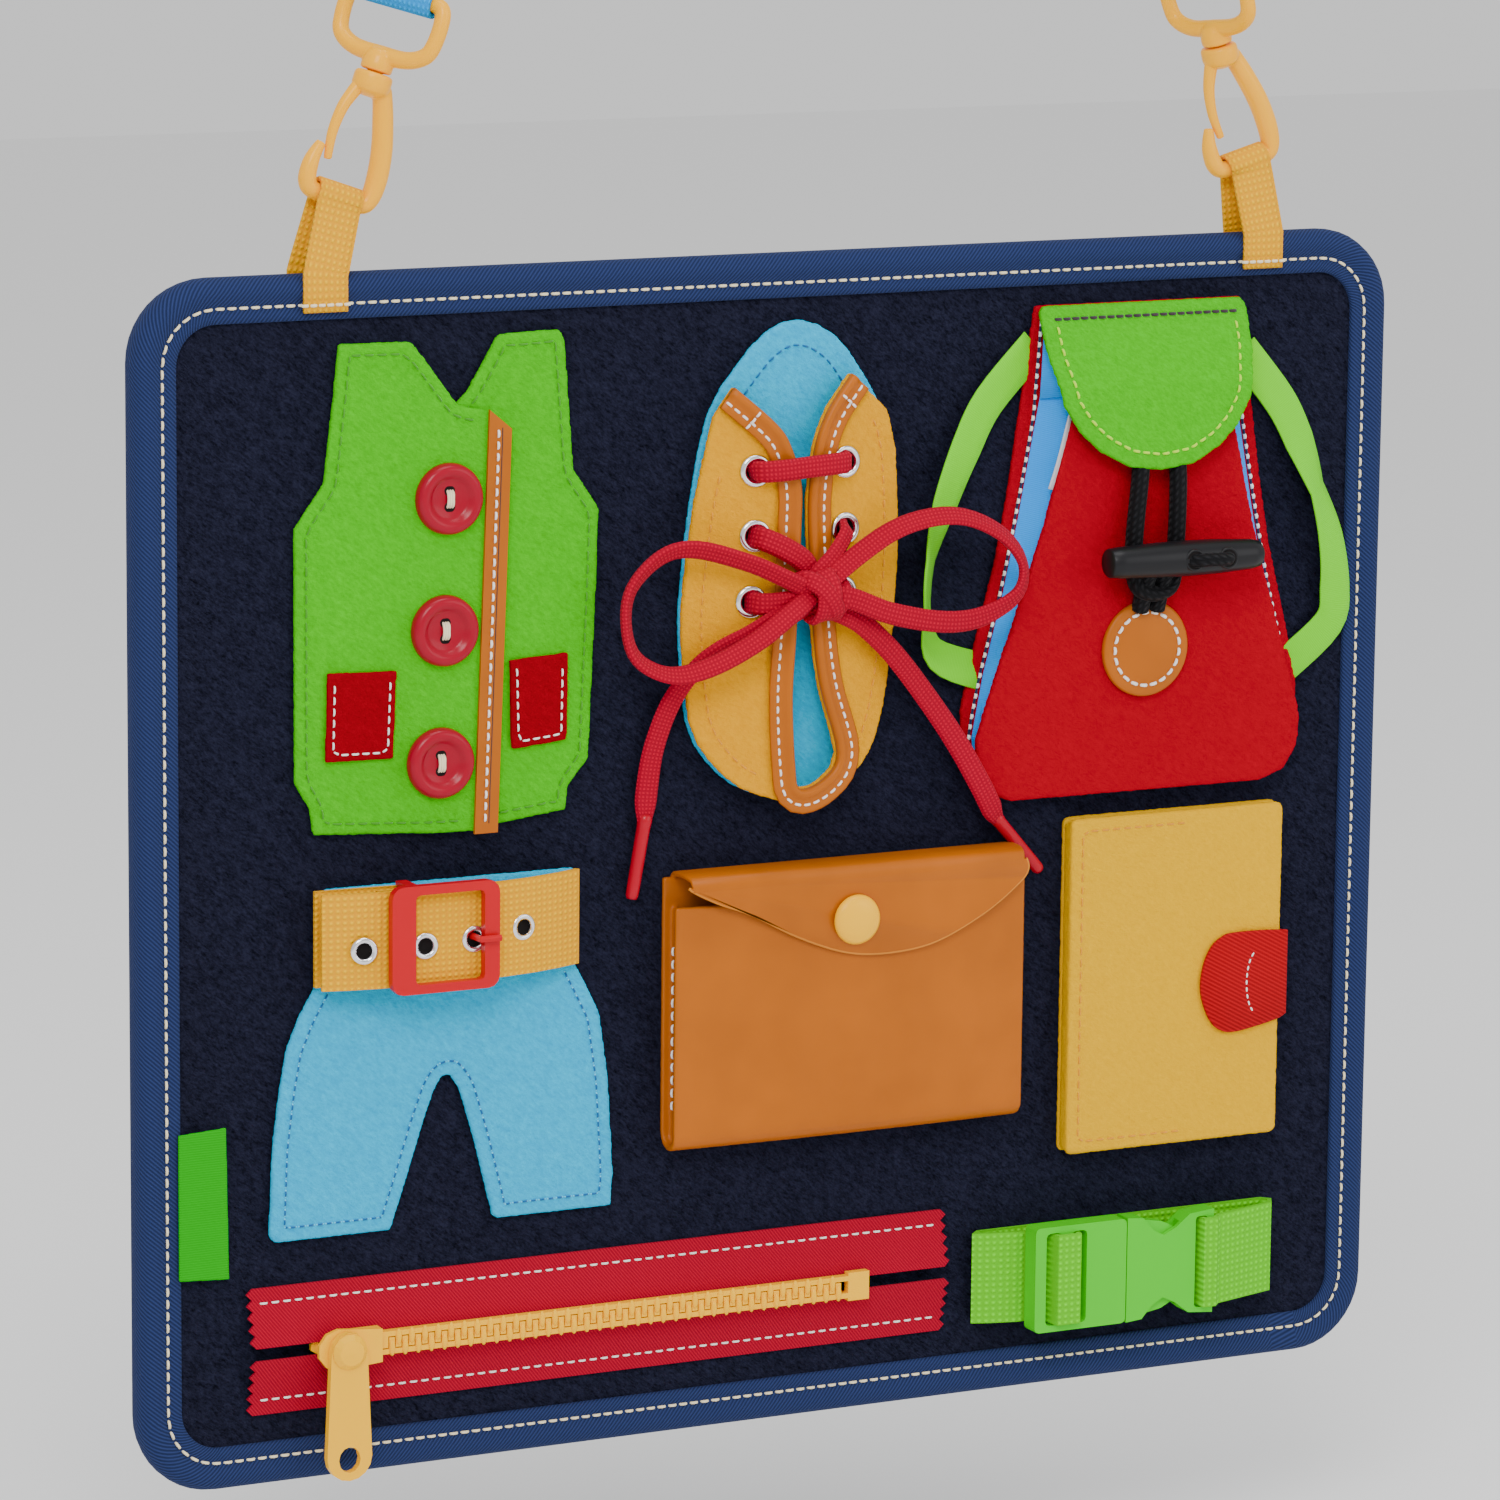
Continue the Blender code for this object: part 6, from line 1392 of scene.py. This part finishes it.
# Purse and notebook
FLAP_DEPTH = 12.3
TAB_DEPTH = 7.5
SNAP_PLACE = (189.7, 132)
FLAP_SHARES = [(0.02, 1.0), (0.02, 0.965), (0.1, 0.905), (0.2, 0.85), (0.33, 0.755), (0.47, 0.683),
               (0.6, 0.668), (0.73, 0.695), (0.87, 0.785), (0.965, 0.88), (0.99, 0.925),
               (0.985, 0.965), (0.965, 1.0)]
TAB_SHARES = [(1, 0.14), (0.9, 0.09), (0.62, 0.03), (0.36, 0.0), (0.2, 0.05), (0.08, 0.2),
              (0.0, 0.45), (0.03, 0.7), (0.12, 0.88), (0.24, 0.97), (0.36, 1), (0.7, 1), (1, 0.98)]


def smooth_outline(shares, corner, size):
    """Smooth (u, v) line through shares of a box."""
    line = [Vector((corner[0] + x * size[0], corner[1] + y * size[1], 0)) for x, y in shares]
    return [(p.x, p.y) for p in catmull(line, 6)]


def flat_plate(outline, depth, thick):
    """Sheet with a given outline, its front at a depth, its front edge eased."""
    made = bmesh.new()
    rings = []
    middle = Vector((sum(u for u, _ in outline), sum(v for _, v in outline))) / len(outline)
    for shrink, rise in ((0.0, -thick), (0.0, -0.25), (0.3, 0.0)):
        ring = []
        for u, v in outline:
            inward = (middle - Vector((u, v))).normalized() * shrink
            ring.append(made.verts.new(at(u + inward.x, v + inward.y, depth + rise)))
        rings.append(ring)
    count = len(outline)
    for a, b in zip(rings, rings[1:]):
        for k in range(count):
            n = (k + 1) % count
            made.faces.new((a[k], a[n], b[n], b[k]))
    for ring in (rings[0], rings[-1]):
        flat = made.faces.new(ring)
        bmesh.ops.triangulate(made, faces=[flat])
    return mesh_of(made, "plate")


def make_purse():
    """Leather pouch and flap with pale cut edges, the side's seam, snap cap and stud."""
    soften("pouch", "purse_pouch", "tan_leather", "board", 0.5, 0.05, 3)
    outline = smooth_outline(FLAP_SHARES, (141, 75), (99.5, 71.0))
    front = [(u, v) for u, v in outline if v < 143.6]
    leaf = flat_plate(front, FLAP_DEPTH, 1.0)
    fold = [(142.6, 0.7), (144.6, 0.9), (145.7, 2.4), (145.9, 5.5), (145.8, 8.6), (145.2, 10.9),
            (143.9, 11.7), (142.4, 11.75)]
    line = catmull([Vector((0, v, d)) for v, d in fold], 4)
    places = [at(191.2, p.y, p.z) for p in line]
    widths = [(96.0 - 0.5 * max(p.z - 9, 0)) * MM for p in line]
    roll = band_mesh(places, [Vector((1, 0, 0))] * len(places), widths, 1.1 * MM, edge=0.6)
    flap = link("pouch_flap", join([leaf, roll]), "tan_leather", "purse_flap", ("purse_flap",))
    flap.data.set_sharp_from_angle(angle=math.radians(50))
    edge = [at(u, v, FLAP_DEPTH - 0.45) for u, v in front]
    link("flap_cut_edge", tube_mesh(edge, 0.42 * MM, 8), "leather_edge", "purse_flap")
    cap = [(0, 12.7), (6.2, 12.7), (6.45, 13.2), (6.2, 13.9), (5.4, 14.6), (3.6, 15.15),
           (1.8, 15.35), (0, 15.4)]
    link("snap_button", disc(*SNAP_PLACE, cap), "yellow_plastic", "purse_flap",
         ("snap_cap",))
    stud = [(0, 12.0), (2.0, 11.9), (2.2, 11.0), (4.8, 10.9), (5.0, 10.4)]
    link("snap_stud", disc(*SNAP_PLACE, stud), "yellow_plastic", "board")
    left = [at(142.2, v, 5.4) for v in (85, 100, 115, 128)]
    stitches("pouch_side_seam", left, "white_thread", pitch=3.2, gap_share=0.3, radius=0.3,
             lift=0.4, normal=Vector((-1, -0.3, 0)).normalized())


def make_book():
    """Yellow felt notebook and its nylon closing tab."""
    soften("book_rear", "book_back", "book_felt", "board")
    soften("book_front", "book_cover", "book_felt", "book_cover")
    outline = smooth_outline(TAB_SHARES, (294.5, 91), (26, 26.5))
    leaf = flat_plate(outline, TAB_DEPTH, 1.0)
    side = [(319.2, 6.9), (320.0, 6.6), (320.3, 5.4), (320.3, 3.2), (320.3, 0.4)]
    line = catmull([at(u, 105.5, d) for u, d in side], 3)
    wrap = band_mesh(line, [Vector((0, 0, 1))] * len(line), 22.0 * MM, 0.9 * MM, edge=0.5)
    tab = link("closing_tab", join([leaf, wrap]), "tab_nylon", "book_tab", ("book_tab",))
    tab.data.set_sharp_from_angle(angle=math.radians(50))
    planar_uv(tab.data, 20)
    seam("book_seam", "book_cover", 3.2, "yellow_thread", lambda u, v: u < 290, "book_cover",
         pitch=3.2, radius=0.2, lift=0.16)
    arc = [at(311.5 - 3.4 * math.cos(math.radians(a)), 104 + 8.6 * math.sin(math.radians(a)), 0)
           for a in range(-70, 71, 5)]
    stitches("tab_seam", on_surface("book_tab", arc), "white_thread", "book_tab", pitch=2.0,
             gap_share=0.24, radius=0.24, lift=0.12)


# Zip
CHAIN_V = 34.3
TOOTH_PITCH = 3.56
FIRST_TOOTH_U = 52.23
CROWNS_FROM_U, CROWNS_TO_U = 63, 191
CROWN_OFFSET = 1.35
CROWN_DEPTH = 6.35
CROWN_SIZE = (0.85 * MM, 0.75 * MM, 2.2 * MM)
TAPE_SEAM_V = {"upper": 46.6, "lower": 22.0}


def make_zip():
    """Woven tapes, their seams, moulded teeth, slider and pull."""
    for side in TAPE_SEAM_V:
        soft_band("tape_" + side, "zip_tape_" + side, "crimson_tape")
    for side, v in TAPE_SEAM_V.items():
        line = on_surface("zip_tape_" + side, [at(u / 2, v, 0) for u in range(62, 441)])
        stitches("tape_seam_" + side, line, "white_thread", pitch=3.1, gap_share=0.34,
                 radius=0.26, lift=0.12)
    link_copy("teeth", "zip_teeth", "yellow_plastic", "board")
    make_tooth_caps()
    link_copy("slider", "zip_slider", "yellow_plastic", "zip_slider")
    link_copy("pull_tab", "zip_pull", "yellow_plastic", "zip_pull")


def make_tooth_caps():
    """Rounded crowns of the moulded teeth."""
    made = bmesh.new()
    size = Matrix.Diagonal(CROWN_SIZE).to_4x4()
    for k in range(39):
        for row, shift in ((1, 0.0), (-1, TOOTH_PITCH / 2)):
            u = FIRST_TOOTH_U + k * TOOTH_PITCH + shift
            if u < CROWNS_FROM_U or u > CROWNS_TO_U:
                continue
            place = at(u, CHAIN_V + row * CROWN_OFFSET, CROWN_DEPTH)
            bmesh.ops.create_icosphere(made, subdivisions=2, radius=1,
                                       matrix=Matrix.Translation(place) @ size)
    link("tooth_caps", mesh_of(made, "tooth_caps", outward=False), "yellow_plastic", "board")


# Side-release clip
def make_clip():
    """Ribbed webbing and the clip's moulded halves."""
    soft_band("clip_band", "clip_webbing", "lime_webbing")
    link_copy("clip_plug", "clip_male", "lime_plastic", "clip_male")
    link_copy("clip_socket", "clip_female", "lime_plastic", "board")
    link_copy("clip_prong_upper", "clip_arm_upper", "lime_plastic", "clip_arm_upper")
    link_copy("clip_prong_lower", "clip_arm_lower", "lime_plastic", "clip_arm_lower")


def make_label():
    """Bare green satin tab folded into the binding."""
    tab = soften("side_label", "label_tab", "green_tape", "board", 0.25, 0.0, 1)
    planar_uv(tab.data, 90)


make_camera()
make_materials()
make_tails()
make_stage()
make_board()
make_label()
make_hanging()
make_vest()
make_shoe()
make_laces()
make_bag()
make_belt()
make_purse()
make_book()
make_zip()
make_clip()
